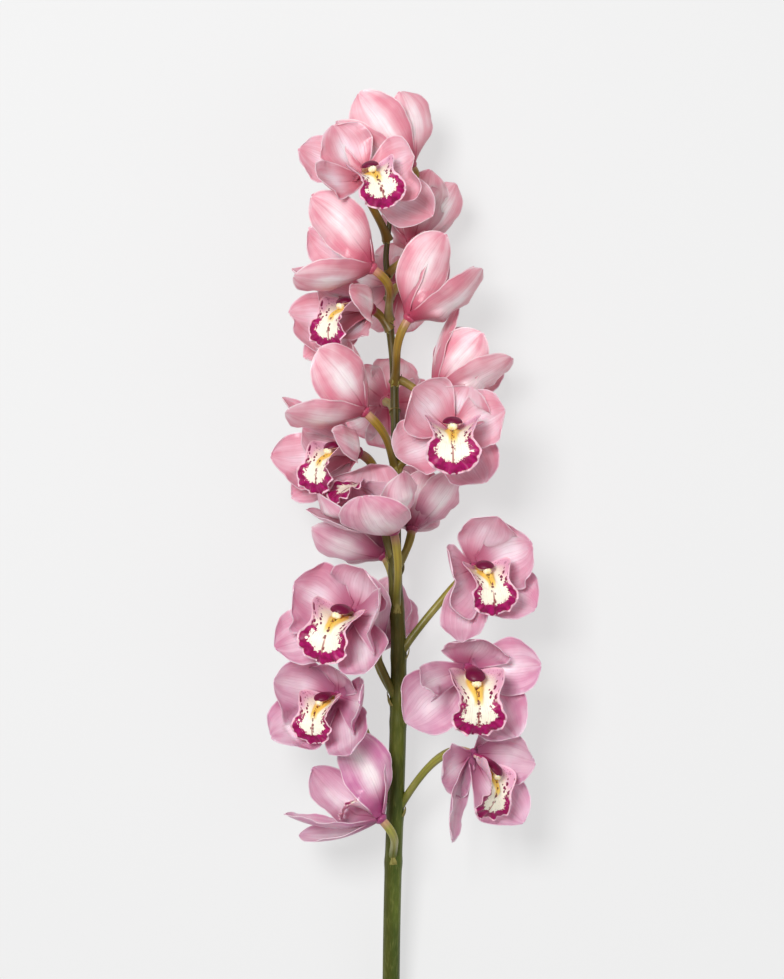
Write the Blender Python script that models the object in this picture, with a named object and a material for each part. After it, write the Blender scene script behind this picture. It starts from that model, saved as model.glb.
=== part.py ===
"""A cut stem of cymbidium orchids, laid down: one green stalk with 22 blooms on short curved pedicels.

Lengths are in millimetres here and are scaled to metres where the meshes are made. x runs to the right
across the stem, y from the cut end towards the top, and z up from the surface that the stem lies on.
The finished objects are moved so that the origin is under the middle of the whole stem.
"""

import bpy
import numpy as np

MM = 0.001

# Stem: its height rises from the cut end, which touches the surface, to the part that the blooms carry.
STEM_HEIGHT_AT_CUT = 6.1
STEM_RISE = 50.0
STEM_RISE_OVER = 420.0
STEM_LENGTH = 645.0
STEM_SIDE_Y = (0, 95, 180, 215, 282, 342, 378, 457, 492, 535, 554, 587, 604, 620, 645)
STEM_SIDE_X = (-0.7, -0.7, 0.9, 2.1, 4.2, 4.2, 2.3, 2.8, 2.1, 0.7, -1.4, -2.8, -4.2, -2.8, 0.7)
STEM_RADIUS_Y = (0, 95, 295, 365, 456, 505, 575, 617, 645)
STEM_RADIUS = (6.1, 6.1, 5.7, 5.0, 3.3, 3.0, 2.5, 1.9, 1.5)
STEM_RINGS = 16
STEM_SIDES = 8

# Pedicels and the small dry scale under each
PEDICEL_RADIUS_FOOT = 2.7
PEDICEL_RADIUS_OVARY = 3.1
PEDICEL_RINGS = 6
PEDICEL_SIDES = 5
SCALE_LENGTH = 9.0
SCALE_WIDTH = 4.2
SEAT_GAP = 0.35

# Receptacle, in which the five tepals of a bloom are rooted
CORE_HEIGHTS = (-2.6, -0.4, 2.2)
CORE_RADII = (3.2, 4.6, 3.2)
CORE_SIDES = 6
ROOT_RADIUS = 3.0

# Tepals
TEPAL_THICKNESS = 0.8
TEPAL_ROWS = (0.0, 0.26, 0.54, 0.80, 1.0)
TEPAL_COLUMNS = 3
TEPALS = {
    "dorsal": dict(angle=90, length=58, width=36, turn=46, reach=44, cup=30, rise=0.0),
    "petal_right": dict(angle=20, length=58, width=37, turn=44, reach=48, cup=26, rise=1.5),
    "petal_left": dict(angle=160, length=58, width=37, turn=44, reach=48, cup=26, rise=1.5),
    "sepal_right": dict(angle=-50, length=60, width=39, turn=46, reach=50, cup=28, rise=0.0),
    "sepal_left": dict(angle=230, length=60, width=39, turn=46, reach=50, cup=28, rise=0.0),
}

# Lip and column
LIP_LENGTH = 64.0
LIP_THICKNESS = 0.8
LIP_ROWS = (0.0, 0.2, 0.40, 0.62, 0.82, 1.0)
LIP_COLUMNS = 5
COLUMN_LENGTH = 32.5
COLUMN_START = 2.6
COLUMN_RINGS = 4
COLUMN_SIDES = 6
CAP_RADII = (3.4, 2.8, 3.2)

# Where a petal would meet the surface under the stem, it bends along it.
TABLE_BEND = 4.0
TABLE_CLEAR = 1.3
RESTING_CLEAR = 0.5
RESTING_BLOOM = 13

TEPAL_PINK_LOW = (0.78, 0.50, 0.64)
TEPAL_PINK_TOP = (0.82, 0.48, 0.56)
LIP_COLOUR = (0.80, 0.52, 0.56)
STEM_COLOUR = (0.16, 0.20, 0.05)


def tip(right, along, forward, **shape):
    """A tepal's tip: its place from the bloom's centre, and the share of its length that goes towards +z."""
    return dict(tip=(right, along, forward), **shape)


def bloom(centre, facing, foot, lip=1.0, length=None, **tepals):
    """A bloom's centre, the yaw, pitch and roll of its face, its pedicel's foot along the stem and its tepals."""
    return dict(centre=centre, facing=facing, foot=foot, lip=lip, length=length, tepals=tepals)


# The blooms from the lowest to the top one
BLOOMS = (
    bloom((-8, 215, 73), (-90, 48, -12), 180, lip=0.5,
          dorsal=tip(-8, 57, -0.7),
          petal_right=tip(-23, 59, 0.5, twist=-62, width=38, turn=30, length=66),
          petal_left=tip(-48, 33, -1, turn=80),
          sepal_right=tip(-66, 3, 0.4),
          sepal_left=tip(-57, -14, -1)),
    bloom((56, 259, 72), (45, -15, -18), 214, lip=0.85,
          dorsal=tip(19, 13, 0),
          petal_right=tip(42, -4, 0.3, width=42),
          petal_left=tip(-22, -16, 0.3, width=48),
          sepal_right=tip(35, -47, 0.1, width=42),
          sepal_left=tip(-15, -57, 1, width=30, twist=-18)),
    bloom((52, 319, 80), (10, 0, 0), 280, lip=1.0,
          dorsal=tip(9, 21, 0.5, width=50),
          petal_right=tip(50, 3, 0.4, width=42),
          petal_left=tip(-31, -9, 1, width=26, twist=30),
          sepal_right=tip(33, -46, 0.55, width=46),
          sepal_left=tip(-43, -36, 0.5, width=52, cup=36)),
    bloom((-38, 299, 66), (-26, 8, -4), 224, lip=0.80,
          dorsal=tip(-4, 22, 0.4, width=42),
          petal_right=tip(16, -2, 0.9, turn=60),
          petal_left=tip(-43, 12, 0.6, width=42),
          sepal_right=tip(10, -36, 0.9),
          sepal_left=tip(-45, -26, 0.6, width=44)),
    bloom((-27, 356, 80), (-16, 16, -14), 293, lip=0.98,
          dorsal=tip(8, 32, 0.5, width=50),
          petal_right=tip(17, 6, 1),
          petal_left=tip(-40, 22, 0.5, width=50),
          sepal_right=tip(10, -36, 0.9),
          sepal_left=tip(-53, -22, 0.6, width=46)),
    bloom((-10, 331, 46), (175, 62, 0), 295, lip=0.5,
          dorsal=tip(-11, 53, 0.6),
          petal_right=tip(-24, 50, -0.1),
          petal_left=tip(12, 50, -0.3),
          sepal_right=tip(-24, 36, -0.8, turn=70),
          sepal_left=tip(17, 33, -0.9, turn=80)),
    bloom((57, 388, 75), (15, 12, 5), 326, lip=0.87,
          dorsal=tip(15, 36, 0.5, width=44),
          petal_right=tip(39, 16, 0.5, width=46),
          petal_left=tip(-15, -4, 0.6, width=44),
          sepal_right=tip(41, -27, 0.5, width=44),
          sepal_left=tip(-9, -49, 1, twist=25, width=34)),
    bloom((-6, 396, 44), (-125, 50, 0), 364, lip=0.5,
          dorsal=tip(-17, 52, -0.4),
          petal_right=tip(-38, 40, 0.3),
          petal_left=tip(-22, 40, -0.9, turn=84),
          sepal_right=tip(-50, 19, 0.4),
          sepal_left=tip(-42, 18, -0.9, turn=70)),
    bloom((1, 414, 85), (-60, 76, 0), 358, lip=0.95,
          dorsal=tip(-16, 46, -0.1, width=42),
          petal_right=tip(3, 40, 0.4),
          petal_left=tip(-46, 27, 0.5, width=42),
          sepal_right=tip(-21, 24, 1, width=52, cup=34, turn=80),
          sepal_left=tip(-59, 15, 0, width=46, cup=20)),
    bloom((14, 415, 46), (165, 58, 0), 385, lip=0.45,
          dorsal=tip(13, 41, 0.1),
          petal_right=tip(-6, 44, -0.3),
          petal_left=tip(31, 38, 0),
          sepal_right=tip(-14, 32, -0.8),
          sepal_left=tip(28, 27, -0.8)),
    bloom((-24, 468, 67), (-44, 16, 0), 393, lip=0.88,
          dorsal=tip(-38, 18, -0.1),
          petal_right=tip(-16, 13, 1, width=24, twist=30),
          petal_left=tip(-60, -2, 0.4),
          sepal_right=tip(-20, -15, -0.35, width=40),
          sepal_left=tip(-46, -30, -0.2)),
    bloom((41, 482, 85), (0, 20, 0), 456, lip=0.98, length=50,
          dorsal=tip(12, 31, 0.15, width=46),
          petal_right=tip(36, 15, 0.5, width=44),
          petal_left=tip(-27, 28, 0.6, width=50),
          sepal_right=tip(22, -35, 0.4, width=44),
          sepal_left=tip(-38, -17, 0.6, width=46)),
    bloom((-4, 504, 36), (180, 0, -50), 497, lip=0.5,
          dorsal=tip(-26, 22, -1),
          petal_right=tip(-29, -15, -1),
          petal_left=tip(10, 33, -1),
          sepal_right=tip(5, -33, -1),
          sepal_left=tip(34, 0, -1)),
    bloom((-19, 496, 88), (-90, 42, -5), 456, lip=0.56,
          dorsal=tip(-11, 49, -0.2),
          petal_right=tip(-31, 41, 1, width=42),
          petal_left=tip(-33, 43, -0.1),
          sepal_right=tip(-53, -1, 1),
          sepal_left=tip(-57, 10, -0.4, turn=84, width=32)),
    bloom((31, 513, 56), (95, 48, 0), 517, lip=0.5,
          dorsal=tip(16, 59, 0),
          petal_right=tip(27, 42, -1),
          petal_left=tip(31, 38, 0.6),
          sepal_right=tip(46, 18, -1),
          sepal_left=tip(52, 21, 0.5)),
    bloom((-15, 568, 62), (-44, 16, 0), 554, lip=0.90,
          dorsal=tip(-36, 15, 0),
          petal_right=tip(-14, 9, 1, width=24, twist=30),
          petal_left=tip(-56, -4, 0.4),
          sepal_right=tip(-20, -20, 0.1, width=40),
          sepal_left=tip(-46, -34, -0.2)),
    bloom((12, 561, 79), (95, 57, 0), 517, lip=0.45,
          dorsal=tip(10, 60, -0.2, twist=30),
          petal_right=tip(22, 52, -1),
          petal_left=tip(24, 57, 0.5, twist=55, turn=38, length=63),
          sepal_right=tip(44, 36, -0.3, width=30, turn=84),
          sepal_left=tip(50, 33, 0.6, twist=5, turn=70, width=44)),
    bloom((-14, 594, 94), (-90, 35, -9), 561, lip=0.45,
          dorsal=tip(-23, 52, -0.8),
          petal_right=tip(-41, 47, 0.69, twist=-54, turn=34, width=36, length=65),
          petal_left=tip(-44, 28, -0.7, turn=70),
          sepal_right=tip(-52, -8, 1),
          sepal_left=tip(-55, 0, -0.4, turn=70)),
    bloom((3, 584, 44), (180, 0, -135), 575, lip=0.5,
          dorsal=tip(-25, -21, -1),
          petal_right=tip(12, -28, -1),
          petal_left=tip(-32, 14, -1),
          sepal_right=tip(36, 3, -1),
          sepal_left=tip(3, 36, -1)),
    bloom((14, 614, 47), (165, 58, 6), 592, lip=0.5,
          dorsal=tip(13, 52, 0.25),
          petal_right=tip(-14, 48, -0.15),
          petal_left=tip(31, 43, 0),
          sepal_right=tip(-14, 37, -0.75, turn=66),
          sepal_left=tip(27, 33, -0.8, turn=72)),
    bloom((-19, 656, 92), (8, 20, 15), 617, lip=0.86, length=50,
          dorsal=tip(-21, 36, 0.1, width=42),
          petal_right=tip(34, 12, 0.6, width=44),
          petal_left=tip(-44, 20, 0.3),
          sepal_right=tip(47, -26, 0.6, width=42),
          sepal_left=tip(-31, -3, 1, width=30)),
    bloom((13, 668, 62), (-100, 56, 0), 645, lip=0.5,
          dorsal=tip(-7, 51, 0.1, twist=-45, width=40),
          petal_right=tip(-36, 48, 0.6, width=40, length=64),
          petal_left=tip(-27, 49, -1),
          sepal_right=tip(-52, 28, 0.6),
          sepal_left=tip(-48, 31, -1)),
)


# Curves and directions

def ease(x, low, high):
    """0 below low, 1 above high, with a smooth step between."""
    f = np.clip((x - low) / (high - low), 0.0, 1.0)
    return f * f * (3.0 - 2.0 * f)


def stepped(s, knots, values):
    """A curve level at each knot, eased from one value to the next."""
    total = np.full(np.shape(s), float(values[0]))
    for low, high, a, b in zip(knots[:-1], knots[1:], values[:-1], values[1:]):
        total = total + (b - a) * ease(s, low, high)
    return total


def through(x, knots, values):
    """A smooth curve through the knots: a cubic on each stretch, its slopes taken from the neighbours."""
    knots = np.asarray(knots, float)
    values = np.asarray(values, float)
    slopes = np.gradient(values, knots)
    k = np.clip(np.searchsorted(knots, x, side="right") - 1, 0, len(knots) - 2)
    h = knots[k + 1] - knots[k]
    t = np.clip((x - knots[k]) / h, 0.0, 1.0)
    a = (2 * t**3 - 3 * t**2 + 1) * values[k] + (t**3 - 2 * t**2 + t) * h * slopes[k]
    b = (3 * t**2 - 2 * t**3) * values[k + 1] + (t**3 - t**2) * h * slopes[k + 1]
    return a + b


def unit(v):
    return v / (np.linalg.norm(v, axis=-1, keepdims=True) + 1e-12)


def face_axes(facing):
    """Rows: the bloom's right, its up and the way it faces. Yaw 0 and pitch 0 face +z with up along +y."""
    yaw, pitch, roll = np.radians(facing)
    out = np.array([np.sin(yaw) * np.cos(pitch), np.sin(pitch), np.cos(yaw) * np.cos(pitch)])
    up = np.array([-np.sin(yaw) * np.sin(pitch), np.cos(pitch), -np.cos(yaw) * np.sin(pitch)])
    right = np.cross(up, out)
    turned_up = np.cos(roll) * up - np.sin(roll) * right
    turned_right = np.cos(roll) * right + np.sin(roll) * up
    return np.array([turned_right, turned_up, out])


def path(s, start, slopes, length):
    """Points along a curve in the bloom's plane of symmetry: slopes(s) is its angle below the facing direction."""
    fine = np.linspace(0.0, 1.0, 401)
    angle = slopes(fine)
    step = length / 400
    out = start[0] + np.concatenate([[0.0], np.cumsum((np.cos(angle[1:]) + np.cos(angle[:-1])) / 2)]) * step
    up = start[1] - np.concatenate([[0.0], np.cumsum((np.sin(angle[1:]) + np.sin(angle[:-1])) / 2)]) * step
    return np.interp(s, fine, out), np.interp(s, fine, up), slopes(s)


# Stem and pedicels

def stem_axis(y):
    x = through(y, STEM_SIDE_Y, STEM_SIDE_X)
    z = STEM_HEIGHT_AT_CUT + STEM_RISE * np.sin(np.pi / 2 * np.clip(y / STEM_RISE_OVER, 0.0, 1.0))
    return np.stack([x, y + 0.0 * x, z], -1)


def stem_radius(y):
    return through(y, STEM_RADIUS_Y, STEM_RADIUS)


def tube(centres, along, side, radii, sides):
    """Rings of points round a line, square to its direction."""
    a = unit(side - along * np.sum(side * along, -1, keepdims=True))
    b = np.cross(along, a)
    turn = (np.arange(sides) / sides * 2 * np.pi)[None, :, None]
    return centres[:, None] + radii[:, None, None] * (np.cos(turn) * a[:, None] + np.sin(turn) * b[:, None])


def pedicel_curve(flower, s):
    """A cubic from the stem's axis to just under the bloom, which it enters square."""
    axes = face_axes(flower["facing"])
    foot = stem_axis(float(flower["foot"]))
    head = np.array(flower["centre"], float) + (CORE_HEIGHTS[0] - SEAT_GAP) * axes[2]
    reach = np.linalg.norm(head - foot)
    out = unit((head - foot) * np.array([1.0, 0.0, 1.0]))
    near_foot = foot + (out * 0.55 + np.array([0.0, 0.8, 0.0])) * reach * 0.35
    near_head = head - axes[2] * reach * 0.4
    s = s[:, None]
    points = (1 - s) ** 3 * foot + 3 * (1 - s) ** 2 * s * near_foot + 3 * (1 - s) * s**2 * near_head + s**3 * head
    along = (1 - s) ** 2 * (near_foot - foot) + 2 * (1 - s) * s * (near_head - near_foot) + s**2 * (head - near_head)
    side = np.cross(head - foot, axes[2]) / reach + 0.05 * axes[0]
    return points, unit(along), side


def pedicel_radius(s):
    return PEDICEL_RADIUS_FOOT + (PEDICEL_RADIUS_OVARY - PEDICEL_RADIUS_FOOT) * ease(s, 0.5, 0.9)


# Tepals, lip and column, in the bloom's own axes

def tepal_values(flower, kind):
    """The tepal's dimensions, with its angle, reach and length worked out from where its tip lies."""
    values = dict(TEPALS[kind])
    own = dict(flower["tepals"].get(kind, {}))
    if flower["length"]:
        values["length"] = flower["length"]
    place = own.pop("tip", None)
    values.update(own)
    if place:
        right, along, forward = place
        full = values["length"] + ROOT_RADIUS
        rise = forward * np.sqrt(max(full**2 - right**2 - along**2, 0.0))
        local = face_axes(flower["facing"]) @ np.array([right, along, rise])
        outward = np.hypot(local[0], local[1]) - ROOT_RADIUS
        forwards = local[2] - values["rise"]
        values["angle"] = np.degrees(np.arctan2(local[1], local[0]))
        values["length"] = np.hypot(outward, forwards)
        values["reach"] = np.degrees(np.arctan2(outward, forwards))
    return values


def tepal_half_width(s, width):
    lower = 0.34 + 0.66 * np.sin(np.pi / 2 * np.clip(s / 0.56, 0.0, 1.0)) ** 1.15
    upper = (1.0 - np.clip((s - 0.56) / 0.44, 0.0, 1.0) ** 2.3) ** 0.60
    return width / 2 * lower * upper


def tepal_surface(s, t, angle, length, width, turn, reach, cup, rise, twist=0.0):
    """An arc from the root to the tip that turns by `turn`, with an arched cross-section; twist grows from the root."""
    start = np.radians(reach + turn / 2)
    bend = -np.radians(turn)
    arc = length * (abs(bend) / 2) / np.sin(abs(bend) / 2)
    lean = start + bend * s
    outward = arc * (np.cos(start) - np.cos(lean)) / bend
    forward = arc * (np.sin(lean) - np.sin(start)) / bend
    half = tepal_half_width(s, width)
    curl = np.radians(cup) * (1 + 0.7 * (1 - s) ** 3)
    across = half * np.sin(curl * t) / curl
    lift = half * (1 - np.cos(curl * t)) / curl
    spin = np.radians(twist) * (1 - (1 - s) ** 3)
    across, lift = across * np.cos(spin) - lift * np.sin(spin), across * np.sin(spin) + lift * np.cos(spin)
    out = ROOT_RADIUS + outward - lift * np.cos(lean)
    a = np.radians(angle)
    return np.stack(
        [out * np.cos(a) - across * np.sin(a), out * np.sin(a) + across * np.cos(a), rise + forward + lift * np.sin(lean)],
        -1,
    )


def lip_slopes(s):
    return np.radians(10 + 120 * np.sin(np.pi / 2 * s**1.5) ** 2 + 45 * np.exp(-s / 0.07))


def lip_surface(s, t):
    """Two upright side lobes, then the narrow waist and the round mid-lobe that curls down."""
    out, up, angle = path(s, (4.6, -1.6), lip_slopes, LIP_LENGTH)
    half = stepped(s, (0, 0.38, 0.60, 0.76), (4, 24, 15, 19.5))
    half = half * np.clip(1 - np.clip((s - 0.76) / 0.24, 0.0, 1.0) ** 1.9, 0.0, 1.0) ** 0.55
    curl = np.radians(stepped(s, (0, 0.36, 0.64, 0.80, 1.0), (100, 66, 40, 16, 8)))
    across = half * np.sin(curl * t) / curl
    lift = half * (1 - np.cos(curl * t)) / curl
    return np.stack([across, up + lift * np.cos(angle), out + lift * np.sin(angle)], -1)


def column_slopes(s):
    return np.radians(-4 + 42 * s**1.3)


def column_surface(s, a):
    """A rod that arches over the lip: round on top, hollowed flat below, widest near its end."""
    out, up, angle = path(s, (COLUMN_START, 0.5), column_slopes, COLUMN_LENGTH)
    half = stepped(s, (0, 0.35, 0.82, 1.0), (3.0, 4.2, 7.0, 4.6))
    below = stepped(s, (0, 0.3), (0.85, 0.18))
    x = half * np.cos(a)
    y = np.where(np.sin(a) > 0, 0.62, below) * half * np.sin(a)
    return np.stack([x, up + y * np.cos(angle), out + y * np.sin(angle)], -1)


def cap_surface(s, a):
    """The pale cap on the column's end."""
    out, up, angle = path(np.array(0.97), (COLUMN_START, 0.5), column_slopes, COLUMN_LENGTH)
    centre = np.array([0.0, up - 1.9 * np.cos(angle), out - 1.6 * np.sin(angle)])
    ball = np.stack([np.sin(s) * np.cos(a), np.sin(s) * np.sin(a), np.cos(s)], -1)
    return centre + ball * np.array(CAP_RADII)


# Room between neighbours

def clear_of_lip(points, scale):
    """Moves a tepal's points out from the bloom's axis where the lip needs the room."""
    right = points[..., 0] / scale
    up = points[..., 1] / scale + 6.0
    out = points[..., 2] / scale
    away = np.hypot(right, up) + 1e-9
    down = np.clip(-up / away, 0.0, 1.0)
    room = 2.0 + 22.0 * ease(out, 3, 25) + 18.5 * ease(down, 0.20, 0.65) * ease(out, 5, 27)
    room = room * (1 - ease(out, 44, 56))
    wider = (away + room + np.sqrt((away - room) ** 2 + 9.0)) / 2 / away
    return np.stack([right * wider * scale, (up * wider - 6.0) * scale, points[..., 2]], -1)


def clear_of_stem(points):
    """Moves points away from the stem's axis where they would touch the stem."""
    y = points[..., 1]
    axis = stem_axis(np.clip(y, 0.0, STEM_LENGTH))
    room = (stem_radius(np.clip(y, 0.0, STEM_LENGTH)) + 1.3) * (1 - ease(y, STEM_LENGTH, STEM_LENGTH + 6))
    dx = points[..., 0] - axis[..., 0]
    dz = points[..., 2] - axis[..., 2]
    away = np.hypot(dx, dz) + 1e-9
    wider = np.where(room > 0.1, (away + room + np.sqrt((away - room) ** 2 + 6.25)) / 2, away) / away
    return np.stack([axis[..., 0] + dx * wider, y, axis[..., 2] + dz * wider], -1)


def lay_on_table(points, clear):
    """Bends what would go lower than `clear` so that it runs along the surface."""
    z = points[..., 2]
    bent = clear + np.clip(z - clear + TABLE_BEND, 0.0, 2 * TABLE_BEND) ** 2 / (4 * TABLE_BEND)
    points = points.copy()
    points[..., 2] = np.where(z < clear + TABLE_BEND, bent, z)
    return points


def in_place(points, flower):
    return points @ face_axes(flower["facing"]) + np.array(flower["centre"], float)


def tepal_in_place(flower, kind, s, t, clear=TABLE_CLEAR):
    points = tepal_surface(s, t, **tepal_values(flower, kind))
    points = clear_of_lip(points, flower["lip"])
    return lay_on_table(clear_of_stem(in_place(points, flower)), clear)


def lip_piece_in_place(flower, points):
    """Lip, column and cap are scaled by the bloom's lip size from the column's root."""
    root = np.array([0.0, 0.0, COLUMN_START])
    return lay_on_table(in_place((points - root) * flower["lip"] + root, flower), TABLE_CLEAR)


# Closed solids as (points, triangles)

def blade(grid, thickness):
    """A grid of mid-surface points, given a thickness; its last row closes to a point."""
    rows, columns = grid.shape[:2]
    along = np.gradient(grid, axis=0)
    across = np.gradient(grid, axis=1)
    across[-1] = across[-2]
    normal = unit(np.cross(along, across))
    faces = []
    sides = []
    for offset in (thickness / 2, -thickness / 2):
        side = grid + normal * offset
        side[-1] = side[-1].mean(axis=0)
        sides.append(side.reshape(-1, 3))
    index = np.arange(rows * columns).reshape(rows, columns)
    index[-1] = index[-1, 0]
    a, b, c, d = index[:-1, :-1], index[1:, :-1], index[1:, 1:], index[:-1, 1:]
    top = np.concatenate([np.stack([a, b, c], -1).reshape(-1, 3), np.stack([a, c, d], -1).reshape(-1, 3)])
    rim = np.concatenate([index[0], index[1:, -1], index[::-1, 0][1:]])
    p, q = rim[:-1], rim[1:]
    under = rows * columns
    wall = np.concatenate([np.stack([p, q, q + under], -1), np.stack([p, q + under, p + under], -1)])
    faces = np.concatenate([top, top[:, ::-1] + under, wall])
    whole = (faces[:, 0] != faces[:, 1]) & (faces[:, 1] != faces[:, 2]) & (faces[:, 0] != faces[:, 2])
    return outward(np.concatenate(sides), faces[whole])


def capped(rings):
    """A row of rings, closed at both ends by a fan."""
    rows, sides = rings.shape[:2]
    points = np.concatenate([rings.reshape(-1, 3), rings[0].mean(axis=0)[None], rings[-1].mean(axis=0)[None]])
    i = np.arange(rows - 1)[:, None] * sides
    j = np.arange(sides)[None]
    k = (j + 1) % sides
    wall = [np.stack([i + j, i + k, i + sides + k], -1), np.stack([i + j, i + sides + k, i + sides + j], -1)]
    j = np.arange(sides)
    k = (j + 1) % sides
    last = (rows - 1) * sides
    low = np.stack([k, j, np.full(sides, rows * sides)], -1)
    high = np.stack([last + j, last + k, np.full(sides, rows * sides + 1)], -1)
    return outward(points, np.concatenate([wall[0].reshape(-1, 3), wall[1].reshape(-1, 3), low, high]))


def outward(points, faces):
    """Drops unused points and turns the faces so that they point out of the solid."""
    used, faces = np.unique(faces, return_inverse=True)
    points = points[used]
    faces = faces.reshape(-1, 3)
    corners = points[faces]
    volume = np.sum(np.cross(corners[:, 0], corners[:, 1]) * corners[:, 2])
    return points, faces if volume > 0 else faces[:, ::-1]


def tepal_solids(number, flower):
    """The receptacle first, then the five tepals that are rooted in it."""
    s, a = np.meshgrid(CORE_HEIGHTS, np.arange(CORE_SIDES) / CORE_SIDES * 2 * np.pi, indexing="ij")
    radius = np.array(CORE_RADII)[:, None]
    core = np.stack([radius * np.cos(a), radius * np.sin(a), s], -1)
    solids = [capped(in_place(core, flower))]
    s, t = np.meshgrid(TEPAL_ROWS, np.linspace(-1, 1, TEPAL_COLUMNS), indexing="ij")
    clear = RESTING_CLEAR if number == RESTING_BLOOM else TABLE_CLEAR
    for kind in TEPALS:
        points, faces = blade(tepal_in_place(flower, kind, s, t, clear), TEPAL_THICKNESS)
        if number == RESTING_BLOOM:
            points[:, 2] = np.where(points[:, 2] < RESTING_CLEAR + 0.1, 0.0, points[:, 2])
        solids.append((points, faces))
    return solids


def lip_solids(flower):
    s, a = np.meshgrid(
        np.linspace(0, 1, COLUMN_RINGS), np.arange(COLUMN_SIDES) / COLUMN_SIDES * 2 * np.pi, indexing="ij"
    )
    solids = [capped(lip_piece_in_place(flower, column_surface(s, a)))]
    s, t = np.meshgrid(LIP_ROWS, np.linspace(-1, 1, LIP_COLUMNS), indexing="ij")
    solids.append(blade(lip_piece_in_place(flower, lip_surface(s, t)), LIP_THICKNESS))
    s, a = np.meshgrid(np.radians([40, 90, 140]), np.radians(np.arange(0, 360, 60)), indexing="ij")
    solids.append(capped(lip_piece_in_place(flower, cap_surface(s, a))))
    return solids


def scale_solid(flower):
    """The dry scale that stands at a pedicel's foot: a thin pointed wedge, its base sunk in the stem."""
    y = float(flower["foot"])
    points, along, side = pedicel_curve(flower, np.array([0.0, 0.3]))
    out = unit((points[1] - points[0]) * np.array([1.0, 0.0, 1.0]))
    radius = stem_radius(y)
    base = stem_axis(y - 3.0) + out * (radius - 0.8)
    peak = stem_axis(y - 3.0) + out * (radius + 2.0) + np.array([0.0, SCALE_LENGTH, 0.0])
    across = np.cross(out, np.array([0.0, 1.0, 0.0])) * SCALE_WIDTH / 2
    thick = out * 1.2
    ring = np.array([base - across, base + across, base + across + thick, base - across + thick])
    high = np.array([peak - across * 0.2, peak + across * 0.2, peak + across * 0.2 + thick * 0.5, peak - across * 0.2 + thick * 0.5])
    return capped(np.array([ring, high]))


def stem_solids():
    y = np.linspace(0.0, STEM_LENGTH, STEM_RINGS)
    centres = stem_axis(y)
    along = np.gradient(centres, axis=0)
    along[0] = (0.0, 1.0, 0.0)
    side = np.tile((1.0, 0.0, 0.0), (STEM_RINGS, 1))
    solids = [capped(tube(centres, unit(along), side, stem_radius(y), STEM_SIDES))]
    s = np.linspace(0.0, 1.0, PEDICEL_RINGS)
    for flower in BLOOMS:
        points, along, side = pedicel_curve(flower, s)
        side = np.tile(side, (PEDICEL_RINGS, 1))
        solids.append(capped(tube(points, along, side, pedicel_radius(s), PEDICEL_SIDES)))
        solids.append(scale_solid(flower))
    return solids


# Blender objects

def mesh_object(name, points, faces, collection):
    mesh = bpy.data.meshes.new(name)
    mesh.from_pydata((points * MM).tolist(), [], faces.tolist())
    made = bpy.data.objects.new(name, mesh)
    collection.objects.link(made)
    return made


def material(name, colour, roughness):
    made = bpy.data.materials.new(name)
    made.use_nodes = True
    shader = made.node_tree.nodes["Principled BSDF"]
    shader.inputs["Base Color"].default_value = (*colour, 1.0)
    shader.inputs["Roughness"].default_value = roughness
    shader.inputs["Metallic"].default_value = 0.0
    return made


def united(name, solids, colour, roughness=0.45, keep=0.59):
    """One object from solids that grow into each other."""
    base = mesh_object(name, *solids[0], bpy.context.scene.collection)
    helpers = bpy.data.collections.new(name + " pieces")
    bpy.context.scene.collection.children.link(helpers)
    for points, faces in solids[1:]:
        mesh_object(name + " piece", points, faces, helpers)
    union = base.modifiers.new("Union", "BOOLEAN")
    union.operation = "UNION"
    union.solver = "MANIFOLD"
    union.operand_type = "COLLECTION"
    union.collection = helpers
    if keep < 1.0:
        fewer = base.modifiers.new("Fewer faces", "DECIMATE")
        fewer.decimate_type = "COLLAPSE"
        fewer.ratio = keep
    graph = bpy.context.evaluated_depsgraph_get()
    joined = bpy.data.meshes.new_from_object(base.evaluated_get(graph))
    base.modifiers.clear()
    base.data = joined
    joined.name = name
    for piece in list(helpers.objects):
        bpy.data.objects.remove(piece)
    bpy.data.collections.remove(helpers)
    joined.materials.clear()
    joined.materials.append(material(name, colour, roughness))
    joined.shade_smooth()
    joined.set_sharp_from_angle(angle=np.radians(50))
    return base


def origin_under_middle(objects):
    """Moves the meshes so that the world origin is at the middle of the lowest level."""
    corners = np.concatenate([[vertex.co[:] for vertex in made.data.vertices] for made in objects])
    low = corners.min(axis=0)
    high = corners.max(axis=0)
    shift = np.array([(low[0] + high[0]) / 2, (low[1] + high[1]) / 2, low[2]])
    for made in objects:
        flat = np.empty(len(made.data.vertices) * 3, np.float32)
        made.data.vertices.foreach_get("co", flat)
        made.data.vertices.foreach_set("co", (flat.reshape(-1, 3) - shift).astype(np.float32).ravel())
        made.data.update()


def main():
    for made in list(bpy.data.objects):
        bpy.data.objects.remove(made)
    objects = [united("stem", stem_solids(), STEM_COLOUR, 0.5, 0.76)]
    for number, flower in enumerate(BLOOMS, start=1):
        share = flower["centre"][1] / STEM_LENGTH
        pink = tuple(a + (b - a) * share for a, b in zip(TEPAL_PINK_LOW, TEPAL_PINK_TOP))
        objects.append(united(f"bloom_{number:02d}_tepals", tepal_solids(number, flower), pink))
        objects.append(united(f"bloom_{number:02d}_lip", lip_solids(flower), LIP_COLOUR, 0.4, 1.0))
    origin_under_middle(objects)


if __name__ == "__main__":
    main()
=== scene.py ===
"""The finished look of a cut stem of cymbidium orchids, laid down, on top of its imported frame.

Lengths are in millimetres here and become metres where a mesh is made. x runs to the right across the
stem, y from the cut end towards the top, and z up from the surface. MIDDLE is the place in those
lengths that lies on the frame's origin. Every petal, lip and stalk is a grid of points worked out from
two numbers: s along the piece, from 0 at its root, and t across it, from -1 to 1.
"""

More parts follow.
